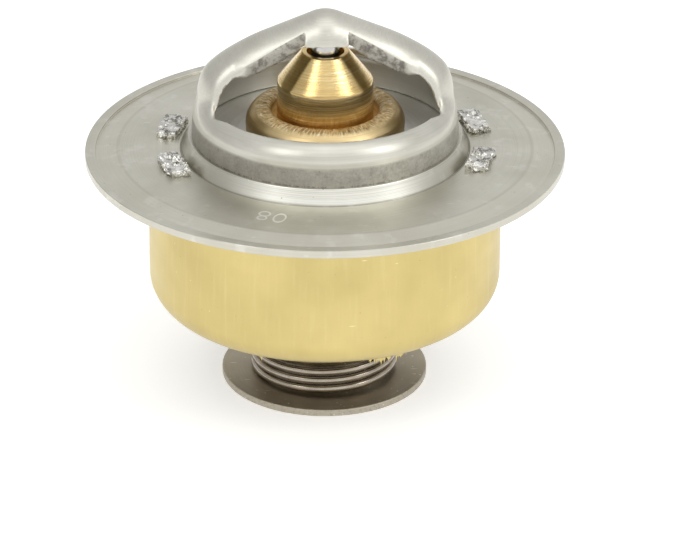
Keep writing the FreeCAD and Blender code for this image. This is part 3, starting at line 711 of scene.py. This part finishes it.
def stake(name, angle, seed, material):
    """Peened head of one prong: a crumbled lump over the flat head."""
    shape = bmesh.new()
    bmesh.ops.create_icosphere(shape, subdivisions=STAKE_DETAIL, radius=1.0)
    turn = Matrix.Rotation(math.radians(angle), 3, "Z")
    half = (STAKE_DEPTH, STAKE_WIDTH, STAKE_HEIGHT)
    for vert in shape.verts:
        flat = vert.co.copy()
        size = sum(abs(c) ** STAKE_BOXY for c in flat) ** (1 / STAKE_BOXY)
        boxed = Vector([c / size * h for c, h in zip(flat, half)])
        boxed += flat * crumbled(boxed, seed) * STAKE_ROUGH
        boxed.z = max(boxed.z, -STAKE_SINK)
        vert.co = (turn @ (boxed + Vector((STAKE_R, 0, 0))) + Vector((0, 0, PLATEAU_Z))) * MM
    mesh = bpy.data.meshes.new(name)
    shape.to_mesh(mesh)
    shape.free()
    mesh.shade_smooth()
    mesh.set_sharp_from_angle(angle=STAKE_CREASE)
    return add_piece(name, mesh, "housing", material)


def burr(name, across, width, drop, material):
    """Thin torn sliver that hangs from the cup's edge; its outline is in widths and drops."""
    back = -math.sqrt(CUP_EDGE_R ** 2 - across ** 2)
    outline = [(-0.5, 0.3), (0.5, 0.3), (0.36, -0.35), (0.12, -0.6)]
    outline += [(0.05, -1.0), (-0.1, -0.65), (-0.42, -0.25)]
    verts = []
    for depth in (0, BURR_T):
        for u, v in outline:
            slant = v * drop * BURR_SLANT
            verts.append((across + u * width, back + depth + slant, CUP_EDGE_Z + v * drop))
    count = len(outline)
    faces = [list(range(count)), list(range(2 * count - 1, count - 1, -1))]
    for index in range(count):
        after = (index + 1) % count
        faces.append([index, index + count, after + count, after])
    mesh = bpy.data.meshes.new(name)
    mesh.from_pydata((np.asarray(verts) * MM).tolist(), [], faces)
    mesh.update()
    return add_piece(name, mesh, "housing", material)


def burr_fringe(material):
    """Torn slivers along the lower right of the cup's edge, and one on the left."""
    chance = random.Random(BURR_SEED)
    across = BURR_FROM
    index = 1
    while across < BURR_TO:
        width = chance.uniform(*BURR_WIDTHS)
        burr(f"burr_{index}", across, width, chance.uniform(*BURR_DROPS), material)
        across += width * chance.uniform(*BURR_SPACINGS)
        index += 1
    burr("burr_left", LEFT_BURR_X, LEFT_BURR_WIDTH, LEFT_BURR_DROP, material)


# Materials

def new_material(name):
    """Material with an empty node tree and its shader; returns both."""
    material = bpy.data.materials.new(name)
    material.use_nodes = True
    tree = material.node_tree
    tree.nodes.clear()
    shader = tree.nodes.new("ShaderNodeBsdfPrincipled")
    output = tree.nodes.new("ShaderNodeOutputMaterial")
    tree.links.new(shader.outputs["BSDF"], output.inputs["Surface"])
    return material, tree, shader


def wire(tree, socket, value):
    if isinstance(value, bpy.types.NodeSocket):
        tree.links.new(value, socket)
    else:
        socket.default_value = value


def maths(tree, operation, a, b=0.0):
    node = tree.nodes.new("ShaderNodeMath")
    node.operation = operation
    wire(tree, node.inputs[0], a)
    wire(tree, node.inputs[1], b)
    return node.outputs[0]


def place(tree):
    """Object coordinates in millimetres, as x, y, z, radius and angle."""
    coords = tree.nodes.new("ShaderNodeTexCoord")
    scaled = tree.nodes.new("ShaderNodeVectorMath")
    scaled.operation = "SCALE"
    scaled.inputs["Scale"].default_value = 1 / MM
    tree.links.new(coords.outputs["Object"], scaled.inputs[0])
    split = tree.nodes.new("ShaderNodeSeparateXYZ")
    tree.links.new(scaled.outputs[0], split.inputs[0])
    x, y, z = split.outputs
    square = maths(tree, "ADD", maths(tree, "MULTIPLY", x, x), maths(tree, "MULTIPLY", y, y))
    radius = maths(tree, "SQRT", square)
    angle = maths(tree, "ARCTAN2", y, x)
    return {"x": x, "y": y, "z": z, "r": radius, "angle": angle, "point": scaled.outputs[0]}


def joined(tree, x, y, z):
    node = tree.nodes.new("ShaderNodeCombineXYZ")
    wire(tree, node.inputs[0], x)
    wire(tree, node.inputs[1], y)
    wire(tree, node.inputs[2], z)
    return node.outputs[0]


def grain(tree, point, scale=1.0, detail=3.0, roughness=0.55):
    node = tree.nodes.new("ShaderNodeTexNoise")
    tree.links.new(point, node.inputs["Vector"])
    node.inputs["Scale"].default_value = scale
    node.inputs["Detail"].default_value = detail
    node.inputs["Roughness"].default_value = roughness
    return node.outputs["Fac"]


def ramp(tree, value, *stops):
    """Colour ramp of (place, colour) stops; a colour may be one grey number."""
    node = tree.nodes.new("ShaderNodeValToRGB")
    tree.links.new(value, node.inputs["Fac"])
    elements = node.color_ramp.elements
    while len(elements) < len(stops):
        elements.new(0.5)
    for element, (where, colour) in zip(elements, stops):
        element.position = where
        if isinstance(colour, (int, float)):
            colour = (colour, colour, colour)
        element.color = tuple(colour) + (1.0,)
    return node.outputs["Color"]


def mixed(tree, share, a, b):
    node = tree.nodes.new("ShaderNodeMix")
    node.data_type = "RGBA"
    wire(tree, node.inputs[0], share)
    wire(tree, node.inputs[6], a)
    wire(tree, node.inputs[7], b)
    return node.outputs[2]


def bump(tree, shader, height, strength, distance):
    node = tree.nodes.new("ShaderNodeBump")
    node.inputs["Strength"].default_value = strength
    node.inputs["Distance"].default_value = distance * MM
    tree.links.new(height, node.inputs["Height"])
    tree.links.new(node.outputs["Normal"], shader.inputs["Normal"])


def rgb(r, g, b):
    return (r, g, b, 1.0)


def rise(tree, value, start, end):
    """Smooth step from 0 at start to 1 at end."""
    node = tree.nodes.new("ShaderNodeMapRange")
    node.interpolation_type = "SMOOTHSTEP"
    wire(tree, node.inputs["Value"], value)
    node.inputs["From Min"].default_value = start
    node.inputs["From Max"].default_value = end
    return node.outputs["Result"]


def fall(tree, value, start, end):
    return maths(tree, "SUBTRACT", 1.0, rise(tree, value, start, end))


def band(tree, value, low, high, soft):
    """Mask that is 1 between low and high, with soft edges."""
    return maths(tree, "MULTIPLY", rise(tree, value, low - soft, low), fall(tree, value, high, high + soft))


def product(tree, *values):
    total = values[0]
    for value in values[1:]:
        total = maths(tree, "MULTIPLY", total, value)
    return total


def stretched(tree, at, per_r, per_z, per_turn):
    """Coordinates that stretch grain along the ring, or along the radius and height."""
    wide = maths(tree, "MULTIPLY", at["r"], per_r)
    tall = maths(tree, "MULTIPLY", at["z"], per_z)
    cosine = maths(tree, "MULTIPLY", maths(tree, "COSINE", at["angle"]), per_turn)
    sine = maths(tree, "MULTIPLY", maths(tree, "SINE", at["angle"]), per_turn)
    first = maths(tree, "ADD", wide, cosine)
    second = maths(tree, "ADD", tall, sine)
    return joined(tree, first, second, maths(tree, "SUBTRACT", sine, wide))


def scratches(tree, point, scale, turn, width=0.02):
    """Thin scattered scratch marks along one direction."""
    spun = tree.nodes.new("ShaderNodeMapping")
    spun.inputs["Rotation"].default_value = (0, 0, math.radians(turn))
    spun.inputs["Scale"].default_value = (scale * 0.12, scale, scale)
    tree.links.new(point, spun.inputs["Vector"])
    cells = tree.nodes.new("ShaderNodeTexVoronoi")
    cells.feature = "F1"
    cells.inputs["Scale"].default_value = 1.0
    tree.links.new(spun.outputs["Vector"], cells.inputs["Vector"])
    return fall(tree, cells.outputs["Distance"], width, width * 3)


def metal(name, dark, light, rough, lines, tone_scale=0.12, lined=0.3):
    """Start of a metal: fine lines round the axis, uneven tone and light grain."""
    material, tree, shader = new_material(name)
    at = place(tree)
    around = stretched(tree, at, lines, lines, 0.6)
    streak = grain(tree, around, 1.0, 4.0, 0.65)
    tone = grain(tree, at["point"], tone_scale, 3.0)
    speck = grain(tree, at["point"], 5.0, 2.0)
    colour = mixed(tree, ramp(tree, tone, (0.3, 0.0), (0.7, 1.0)), rgb(*dark), rgb(*light))
    deep = rgb(*[c * 0.6 for c in dark])
    colour = mixed(tree, ramp(tree, streak, (0.3, lined), (0.7, 0.0)), colour, deep)
    level = maths(tree, "ADD", product(tree, streak, STREAK_ROUGH), product(tree, speck, SPECK_ROUGH))
    level = maths(tree, "ADD", level, rough - MEAN_ROUGH)
    shader.inputs["Metallic"].default_value = 1.0
    look = {"at": at, "streak": streak, "speck": speck, "colour": colour, "rough": level}
    return material, tree, shader, look


def finish(tree, shader, look, height, strength=0.25, distance=0.02):
    """Wire the colour, roughness and relief of a metal."""
    tree.links.new(look["colour"], shader.inputs["Base Color"])
    tree.links.new(look["rough"], shader.inputs["Roughness"])
    bump(tree, shader, height, strength, distance)


def turned_metal(name, dark, light, rough, lines):
    material, tree, shader, look = metal(name, dark, light, rough, lines)
    finish(tree, shader, look, look["streak"])
    return material


def tint(tree, look, mask, share, colour):
    """Blend a colour into a metal where the mask is high."""
    look["colour"] = mixed(tree, maths(tree, "MULTIPLY", mask, share), look["colour"], rgb(*colour))


def bridge_metal(name):
    """Drawn stainless with torn window edges, a dull mottled collar wall with painted shade towards its
    left, painted shade inside the collar, and a ticked ledge.
    """
    material, tree, shader, look = metal(name, (0.61, 0.595, 0.52), (0.74, 0.725, 0.65), 0.40, 5.0)
    at = look["at"]
    fine = grain(tree, at["point"], 2.6, 6.0, 0.7)
    pits = rise(tree, grain(tree, at["point"], 4.5, 3.0, 0.6), 0.66, 0.74)
    wall = product(tree, fall(tree, at["z"], *WALL_TOP_Z), rise(tree, at["r"], *WALL_R))
    cloud = grain(tree, at["point"], 0.6, 4.0, 0.6)
    patches = ramp(tree, cloud, (0.35, 1.0), (0.65, 0.6))
    mottled = product(tree, wall, ramp(tree, fine, (0.35, 1.0), (0.65, 0.55)), patches)
    tint(tree, look, mottled, 0.9, (0.30, 0.28, 0.245))
    # painted shade: the collar wall darkens towards its left side
    tint(tree, look, product(tree, wall, fall(tree, at["x"], *WALL_SHADE_X)), 0.4, (0.24, 0.22, 0.19))
    tint(tree, look, product(tree, wall, pits), 0.85, (0.09, 0.08, 0.06))
    ticks = grain(tree, stretched(tree, at, 0.2, 0.5, 60.0), 1.0, 2.0)
    ledge = product(tree, wall, fall(tree, at["z"], LEDGE_Z, LEDGE_Z + LEDGE_H))
    tint(tree, look, product(tree, ledge, rise(tree, ticks, 0.45, 0.6)), 0.8, DARK_TICK)
    out_x = maths(tree, "ABSOLUTE", at["x"])
    strap_y = maths(tree, "ADD", product(tree, out_x, STRAP_FLARE), STRAP_HALF)
    to_strap = maths(tree, "SUBTRACT", maths(tree, "ABSOLUTE", at["y"]), strap_y)
    inside = product(tree, fall(tree, at["r"], *SLIT_R), rise(tree, at["z"], *SLIT_Z))
    beside_boss = rise(tree, out_x, BOSS_HALF - 0.05, BOSS_HALF)
    beside_boss = product(tree, beside_boss, fall(tree, out_x, *SLIT_END_X))
    torn = product(tree, band(tree, to_strap, -0.1, 0.1, 0.05), inside, beside_boss)
    clumps = grain(tree, at["point"], 1.0, 5.0, 0.65)
    tint(tree, look, torn, 0.75, (0.46, 0.44, 0.39))
    tint(tree, look, product(tree, torn, rise(tree, clumps, 0.42, 0.64)), 0.75, (0.14, 0.125, 0.105))
    rim = band(tree, at["r"], RIM_R - 0.15, RIM_R + 0.06, 0.05)
    rim = product(tree, rim, rise(tree, at["z"], *RIM_LOW_Z))
    rim = product(tree, rim, fall(tree, at["z"], *RIM_HIGH_Z), rise(tree, to_strap, 0.0, 0.2))
    tint(tree, look, rim, 0.6, (0.33, 0.26, 0.17))
    # painted shade: surfaces inside the collar, low down, are darkened
    painted_inner_shade = product(tree, fall(tree, at["r"], *INNER_R), fall(tree, at["z"], *INNER_TOP_Z))
    tint(tree, look, painted_inner_shade, 0.65, (0.36, 0.33, 0.29))
    nicks = scratches(tree, at["point"], 0.9, 20.0)
    tint(tree, look, nicks, 0.5, BRIGHT_WEAR)
    relief = maths(tree, "ADD", look["streak"], product(tree, torn, clumps, 4.0))
    relief = maths(tree, "SUBTRACT", relief, product(tree, wall, pits, 1.5))
    dull = maths(tree, "MULTIPLY", maths(tree, "MAXIMUM", wall, torn), 0.15)
    look["rough"] = maths(tree, "ADD", look["rough"], dull)
    finish(tree, shader, look, relief, 0.3, 0.03)
    return material


def ring_mark(tree, u, v, centre, half, width=0.08):
    """Line of an oval drawn on the metal."""
    wide = maths(tree, "DIVIDE", maths(tree, "SUBTRACT", u, centre[0]), half[0])
    tall = maths(tree, "DIVIDE", maths(tree, "SUBTRACT", v, centre[1]), half[1])
    square = maths(tree, "ADD", maths(tree, "MULTIPLY", wide, wide), maths(tree, "MULTIPLY", tall, tall))
    away = maths(tree, "ABSOLUTE", maths(tree, "SUBTRACT", maths(tree, "SQRT", square), 1.0))
    return fall(tree, maths(tree, "MULTIPLY", away, min(half)), width, width * 2)


def plain_number(tree, at):
    """Two stamped digits on the flange, an eight and a nought."""
    spot = Vector((NUMBER_R * math.cos(NUMBER_TURN), NUMBER_R * math.sin(NUMBER_TURN)))
    across = (-math.sin(NUMBER_TURN), math.cos(NUMBER_TURN))
    out = (math.cos(NUMBER_TURN), math.sin(NUMBER_TURN))
    x = maths(tree, "SUBTRACT", at["x"], spot.x)
    y = maths(tree, "SUBTRACT", at["y"], spot.y)
    u = maths(tree, "ADD", maths(tree, "MULTIPLY", x, across[0]), maths(tree, "MULTIPLY", y, across[1]))
    v = maths(tree, "ADD", maths(tree, "MULTIPLY", x, out[0]), maths(tree, "MULTIPLY", y, out[1]))
    top = ring_mark(tree, u, v, (-1.2, 0.62), (0.62, 0.58))
    low = ring_mark(tree, u, v, (-1.2, -0.68), (0.75, 0.68))
    nought = ring_mark(tree, u, v, (1.1, 0.0), (0.78, 1.3))
    return maths(tree, "MAXIMUM", maths(tree, "MAXIMUM", top, low), nought)


def flange_metal(name):
    """Drawn stainless with a painted highlight on the neck's front, painted shade on the neck's sides and
    foot, a painted lighter slope with painted shade along its crease, stamped digits, scratches and a
    little dirt.
    """
    material, tree, shader, look = metal(name, (0.59, 0.575, 0.49), (0.72, 0.705, 0.62), 0.36, 9.0)
    at = look["at"]
    neck = product(tree, fall(tree, at["r"], NECK_FOOT_R, NECK_FOOT_R + 0.3), rise(tree, at["z"], *NECK_Z))
    # painted highlight on the neck's front along its real drawn lines, fading towards the sides, where
    # painted shade darkens the neck
    drawn = grain(tree, stretched(tree, at, 1.0, 14.0, 0.5), 1.0, 4.0, 0.6)
    bright = product(tree, neck, ramp(tree, drawn, (0.35, 0.2), (0.6, 1.0)))
    sideways = rise(tree, maths(tree, "ABSOLUTE", at["x"]), *NECK_SHADE_X)
    tint(tree, look, product(tree, neck, sideways), 0.35, (0.42, 0.40, 0.34))
    bright = product(tree, bright, maths(tree, "SUBTRACT", 1.0, sideways))
    tint(tree, look, bright, 0.9, (0.92, 0.91, 0.84))
    # painted shade in the groove at the neck's foot
    foot = band(tree, at["r"], NECK_FOOT_R + 0.02, NECK_FOOT_R + 2 * FOOT_GROOVE, 0.08)
    tint(tree, look, foot, 0.55, (0.20, 0.18, 0.14))
    # painted light: the sloping band towards the lip is lightened
    slope = band(tree, at["r"], FLANGE_R - SLOPE_W, FLANGE_R - LIP_W, 0.3)
    tint(tree, look, slope, 0.3, (0.70, 0.665, 0.565))
    rim = rise(tree, at["r"], FLANGE_R - 0.15, FLANGE_R - 0.02)
    rim = product(tree, rim, fall(tree, at["z"], *LIP_EDGE_Z))
    tint(tree, look, rim, 0.4, (0.46, 0.44, 0.38))
    # painted shade along the crease where the plateau meets the slope
    border = band(tree, at["r"], FLANGE_R - SLOPE_W - 0.1, FLANGE_R - SLOPE_W + 0.1, 0.25)
    tint(tree, look, border, 0.28, (0.40, 0.38, 0.32))
    from_x = maths(tree, "ABSOLUTE", maths(tree, "SUBTRACT", at["x"], SMEAR_X))
    from_y = maths(tree, "ABSOLUTE", maths(tree, "SUBTRACT", at["y"], SMEAR_Y))
    from_smear = maths(tree, "ADD", from_x, product(tree, from_y, SMEAR_STRETCH))
    smear = product(tree, fall(tree, from_smear, 0.3, 1.6), look["speck"])
    tint(tree, look, smear, 0.6, (0.25, 0.24, 0.21))
    mark = plain_number(tree, at)
    tint(tree, look, mark, 0.75, (0.97, 0.96, 0.92))
    cloud = grain(tree, at["point"], 0.35, 3.0)
    tint(tree, look, rise(tree, cloud, 0.55, 0.7), 0.18, BRIGHT_WEAR)
    dirt = rise(tree, grain(tree, at["point"], 2.1, 2.0, 0.5), 0.72, 0.78)
    tint(tree, look, dirt, 0.5, DARK_DIRT)
    first = scratches(tree, at["point"], 0.55, 35.0)
    second = scratches(tree, at["point"], 0.7, -50.0)
    tint(tree, look, maths(tree, "MAXIMUM", first, second), 0.55, BRIGHT_SCRATCH)
    relief = maths(tree, "SUBTRACT", look["streak"], product(tree, mark, 6.0))
    relief = maths(tree, "SUBTRACT", relief, product(tree, foot, 2.0))
    finish(tree, shader, look, relief, 0.3, 0.03)
    return material


def stake_metal(name):
    """Torn bright metal with painted shade in its hollows and at its foot, and bright specks that are
    partly painted glints.
    """
    dark, light = (0.62, 0.61, 0.56), (0.84, 0.83, 0.79)
    material, tree, shader, look = metal(name, dark, light, 0.26, 4.0, tone_scale=0.8)
    at = look["at"]
    torn = grain(tree, at["point"], 1.0, 3.0, 0.6)
    # painted shade: dark patches stand for shade in the torn metal's hollows; the bright patches are partly
    # painted glints
    tint(tree, look, fall(tree, torn, 0.38, 0.46), 0.75, (0.12, 0.11, 0.09))
    tint(tree, look, rise(tree, torn, 0.56, 0.62), 0.7, (0.98, 0.97, 0.94))
    # painted shadow where the stake meets the flange
    tint(tree, look, fall(tree, at["z"], PLATEAU_Z, PLATEAU_Z + 0.3), 0.7, (0.14, 0.13, 0.11))
    finish(tree, shader, look, torn, 0.45, 0.3)
    return material


def cup_metal(name):
    """Satin yellow brass with upright draw streaks and a few dark specks."""
    dark, light = (0.55, 0.445, 0.185), (0.66, 0.545, 0.235)
    material, tree, shader, look = metal(name, dark, light, 0.38, 0.5, tone_scale=0.08, lined=0.04)
    at = look["at"]
    upright = grain(tree, stretched(tree, at, 0.12, 0.12, 34.0), 1.0, 5.0, 0.65)
    tint(tree, look, rise(tree, upright, 0.5, 0.85), 0.2, (0.86, 0.74, 0.42))
    tint(tree, look, fall(tree, upright, 0.15, 0.48), 0.16, (0.50, 0.38, 0.16))
    speck = rise(tree, grain(tree, at["point"], 2.6, 2.0, 0.5), 0.74, 0.79)
    tint(tree, look, speck, 0.6, (0.16, 0.11, 0.05))
    nicks = scratches(tree, at["point"], 0.6, 75.0)
    tint(tree, look, nicks, 0.5, (0.97, 0.88, 0.60))
    finish(tree, shader, look, upright, 0.2, 0.03)
    return material


def crimp_metal(name):
    """Dull brass with radial scratches on the rolled rim, their bright flecks partly painted highlights."""
    material, tree, shader, look = metal(name, (0.64, 0.485, 0.245), (0.78, 0.61, 0.33), 0.36, 4.0)
    at = look["at"]
    radial = grain(tree, stretched(tree, at, 0.7, 0.7, 46.0), 1.0, 4.0, 0.75)
    top = product(tree, fall(tree, at["r"], *CRIMP_INNER_R), rise(tree, at["z"], *CRIMP_UPPER_Z))
    # bright flecks: radial scratches on the rim's top, partly painted highlights
    tint(tree, look, product(tree, top, rise(tree, radial, 0.54, 0.6)), 0.95, (1.0, 0.92, 0.76))
    tint(tree, look, product(tree, top, fall(tree, radial, 0.38, 0.48)), 0.8, (0.22, 0.14, 0.07))
    relief = maths(tree, "ADD", look["streak"], product(tree, top, radial, 8.0))
    finish(tree, shader, look, relief, 0.7, 0.06)
    return material


def guide_metal(name):
    """Bright turned brass with tool lines, and a painted reflection of the crimped brass rim that reddens
    the cylinder low down.
    """
    material, tree, shader, look = metal(name, (0.74, 0.53, 0.22), (0.88, 0.68, 0.33), 0.19, 7.0)
    at = look["at"]
    tooled = grain(tree, stretched(tree, at, 2.8, 2.8, 0.8), 1.0, 5.0, 0.7)
    tint(tree, look, rise(tree, tooled, 0.52, 0.66), 0.5, (0.98, 0.86, 0.60))
    tint(tree, look, fall(tree, tooled, 0.32, 0.47), 0.5, (0.42, 0.27, 0.09))
    side = fall(tree, at["z"], GUIDE_CONE_Z - 0.2, GUIDE_CONE_Z)
    cut = grain(tree, stretched(tree, at, 0.0, 5.0, 0.4), 1.0, 4.0, 0.7)
    tint(tree, look, product(tree, side, rise(tree, cut, 0.5, 0.62)), 0.6, (1.0, 0.85, 0.55))
    tint(tree, look, product(tree, side, fall(tree, cut, 0.36, 0.48)), 0.6, (0.34, 0.21, 0.07))
    # painted reflection of the crimped brass rim, low on the guide's cylinder
    tint(tree, look, fall(tree, at["z"], *CRIMP_REFLECTION_Z), 0.3, (0.80, 0.45, 0.14))
    round_axis = tree.nodes.new("ShaderNodeTangent")
    round_axis.direction_type = "RADIAL"
    round_axis.axis = "Z"
    tree.links.new(round_axis.outputs[0], shader.inputs["Tangent"])
    shader.inputs["Anisotropic"].default_value = 0.8
    shader.inputs["Anisotropic Rotation"].default_value = 0.25
    finish(tree, shader, look, tooled, 0.7, 0.06)
    return material


def disc_metal(name):
    """Brown-grey stamped steel: smooth dark top with small bright scratches, pale sheared edge."""
    material, tree, shader, look = metal(name, (0.43, 0.38, 0.30), (0.54, 0.49, 0.40), 0.39, 3.0)
    at = look["at"]
    edge = rise(tree, at["r"], BYPASS_R - 0.3, BYPASS_R - 0.05)
    torn = grain(tree, stretched(tree, at, 0.3, 2.0, 30.0), 1.0, 4.0, 0.7)
    tint(tree, look, edge, 0.65, (0.53, 0.49, 0.41))
    tint(tree, look, product(tree, edge, rise(tree, torn, 0.5, 0.62)), 0.5, (0.30, 0.27, 0.22))
    first = scratches(tree, at["point"], 1.0, 12.0, 0.035)
    second = scratches(tree, at["point"], 1.3, -35.0, 0.035)
    dots = rise(tree, grain(tree, at["point"], 2.4, 1.0, 0.4), 0.74, 0.78)
    marks = maths(tree, "MAXIMUM", maths(tree, "MAXIMUM", first, second), dots)
    tint(tree, look, marks, 0.8, (0.95, 0.92, 0.84))
    look["rough"] = maths(tree, "ADD", look["rough"], product(tree, edge, 0.12))
    finish(tree, shader, look, look["streak"], 0.2, 0.02)
    return material


def spring_metal(name):
    """Glossy brown-grey drawn wire."""
    dark, light = (0.38, 0.33, 0.27), (0.55, 0.50, 0.43)
    material, tree, shader, look = metal(name, dark, light, 0.22, 2.0, tone_scale=0.4)
    finish(tree, shader, look, look["speck"], 0.2, 0.02)
    return material


def plain_finish(name, colour, rough):
    """Even finish with slight mottling, for pieces that hardly show."""
    material, tree, shader = new_material(name)
    at = place(tree)
    tone = grain(tree, at["point"], 1.2, 4.0)
    deep = rgb(*[c * 0.75 for c in colour])
    shade = mixed(tree, ramp(tree, tone, (0.3, 0.0), (0.7, 1.0)), deep, rgb(*colour))
    tree.links.new(shade, shader.inputs["Base Color"])
    level = maths(tree, "ADD", product(tree, tone, 0.15), rough)
    tree.links.new(level, shader.inputs["Roughness"])
    bump(tree, shader, tone, 0.2, 0.05)
    return material


def dress(node, material):
    """Give a CAD node that shows as it is its material."""
    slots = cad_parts[node].data.materials
    slots.clear()
    slots.append(material)


# Stage, lights and camera

def add_stage(floor_z):
    mesh = bpy.data.meshes.new("floor")
    half = FLOOR_HALF
    corners = [(-half, -half, 0), (half, -half, 0), (half, half, 0), (-half, half, 0)]
    mesh.from_pydata(corners, [], [(0, 1, 2, 3)])
    floor = bpy.data.objects.new("floor", mesh)
    floor.location.z = floor_z - FLOOR_GAP * MM
    bpy.context.scene.collection.objects.link(floor)
    material, tree, shader = new_material("floor")
    shader.inputs["Base Color"].default_value = rgb(FLOOR_TONE, FLOOR_TONE, FLOOR_TONE)
    shader.inputs["Roughness"].default_value = FLOOR_ROUGH
    shader.inputs["Emission Color"].default_value = rgb(1.0, 1.0, 1.0)
    shader.inputs["Emission Strength"].default_value = FLOOR_GLOW
    mesh.materials.append(material)


def area_light(name, where, size, power):
    """Area light that faces the origin."""
    data = bpy.data.lights.new(name, "AREA")
    data.shape = "RECTANGLE"
    data.size = size[0]
    data.size_y = size[1]
    data.energy = power
    light = bpy.data.objects.new(name, data)
    light.location = where
    aim = Vector((0, 0, 0)) - Vector(where)
    light.rotation_euler = aim.to_track_quat("-Z", "Y").to_euler()
    bpy.context.scene.collection.objects.link(light)


def add_lights():
    """Three soft lights and a pale room, brightest in front and above and darker at the left."""
    area_light("key_left", *KEY_LEFT)
    area_light("key_right", *KEY_RIGHT)
    area_light("overhead", *OVERHEAD)
    world = bpy.data.worlds.new("studio")
    world.use_nodes = True
    tree = world.node_tree
    background = tree.nodes["Background"]
    coords = tree.nodes.new("ShaderNodeTexCoord")
    split = tree.nodes.new("ShaderNodeSeparateXYZ")
    tree.links.new(coords.outputs["Generated"], split.inputs[0])
    back = maths(tree, "ADD", maths(tree, "MULTIPLY", split.outputs[1], 0.5), 0.5)
    depth = ramp(tree, back, (0.0, 1.0), (0.25, 0.9), (0.5, 0.68), (0.75, 0.72), (1.0, 0.80))
    left = maths(tree, "MULTIPLY", fall(tree, split.outputs[0], -0.7, 0.2), 0.16)
    zenith = maths(tree, "MULTIPLY", rise(tree, split.outputs[2], 0.6, 0.9), 0.2)
    strength = maths(tree, "ADD", maths(tree, "SUBTRACT", zenith, left), 1.0)
    tree.links.new(depth, background.inputs["Color"])
    tree.links.new(strength, background.inputs["Strength"])
    bpy.context.scene.world = world


def add_camera():
    """Camera at the photo's angle, aimed so that the flange lands where the photo has it."""
    rise = math.radians(CAMERA_RISE)
    turn = math.radians(CAMERA_TURN)
    away = Vector((math.sin(turn) * math.cos(rise), -math.cos(turn) * math.cos(rise), math.sin(rise)))
    target = Vector((0, 0, SHEET)) * MM
    pixels = CAMERA_LENS * PHOTO_W / SENSOR_W
    pan = math.atan((PHOTO_W / 2 - CENTRE_PX) / pixels)
    tilt = math.atan((PHOTO_H / 2 - CENTRE_PY) / pixels)
    level = (-away).to_track_quat("-Z", "Y").to_matrix()
    aimed = level @ Matrix.Rotation(-pan, 3, "Y") @ Matrix.Rotation(-tilt, 3, "X")
    aimed = aimed @ Matrix.Rotation(math.radians(CAMERA_ROLL), 3, "Z")
    data = bpy.data.cameras.new("photo_camera")
    data.lens = CAMERA_LENS
    data.sensor_width = SENSOR_W
    data.clip_start = 0.05
    data.clip_end = 20.0
    shot = bpy.data.objects.new("photo_camera", data)
    shot.matrix_world = Matrix.Translation(target + away * CAMERA_DISTANCE * MM) @ aimed.to_4x4()
    bpy.context.scene.collection.objects.link(shot)
    bpy.context.scene.camera = shot


add_camera()
add_stage(CAD_BOX[0][2])
add_lights()
bpy.context.scene.view_settings.view_transform = "Standard"

STIRRUP = turned_metal("stirrup_steel", (0.45, 0.44, 0.38), (0.62, 0.60, 0.52), 0.35, 6.0)
CUP = cup_metal("cup_brass")
PISTON = turned_metal("piston_steel", (0.5, 0.5, 0.49), (0.7, 0.7, 0.69), 0.22, 12.0)
SPRING = spring_metal("spring_steel")
GUIDE = guide_metal("turned_brass")
CRIMP = crimp_metal("case_brass")
VALVE = turned_metal("valve_steel", (0.70, 0.70, 0.67), (0.84, 0.84, 0.81), 0.36, 6.0)
BYPASS = disc_metal("bypass_steel")
STAKES = stake_metal("peened_steel")

collar_and_bridge(bridge_metal("bridge_stainless"))
flange(flange_metal("flange_stainless"))
guide(GUIDE)
case(CRIMP)
disc(BYPASS)
return_spring(SPRING)
disc_spring(SPRING)
stake("stake_right_back", STAKE_ANGLE, 1, STAKES)
stake("stake_right_front", -STAKE_ANGLE, 2, STAKES)
stake("stake_left_back", 180 - STAKE_ANGLE, 3, STAKES)
stake("stake_left_front", 180 + STAKE_ANGLE, 4, STAKES)
burr_fringe(CUP)
dress("stirrup", STIRRUP)
dress("shroud_cup", CUP)
dress("piston", PISTON)
dress("chafe_ring", plain_finish("ring_plastic", (0.85, 0.84, 0.80), 0.45))
dress("rubber_sleeve", plain_finish("sleeve_rubber", (0.03, 0.03, 0.03), 0.6))
dress("wax_charge", plain_finish("wax", (0.55, 0.38, 0.22), 0.6))
dress("valve_disc", VALVE)
dress("snap_ring", SPRING)
dress("seat_washer", VALVE)
dress("bypass_stem", PISTON)
dress("stem_clip", SPRING)
dress("bypass_bush", GUIDE)
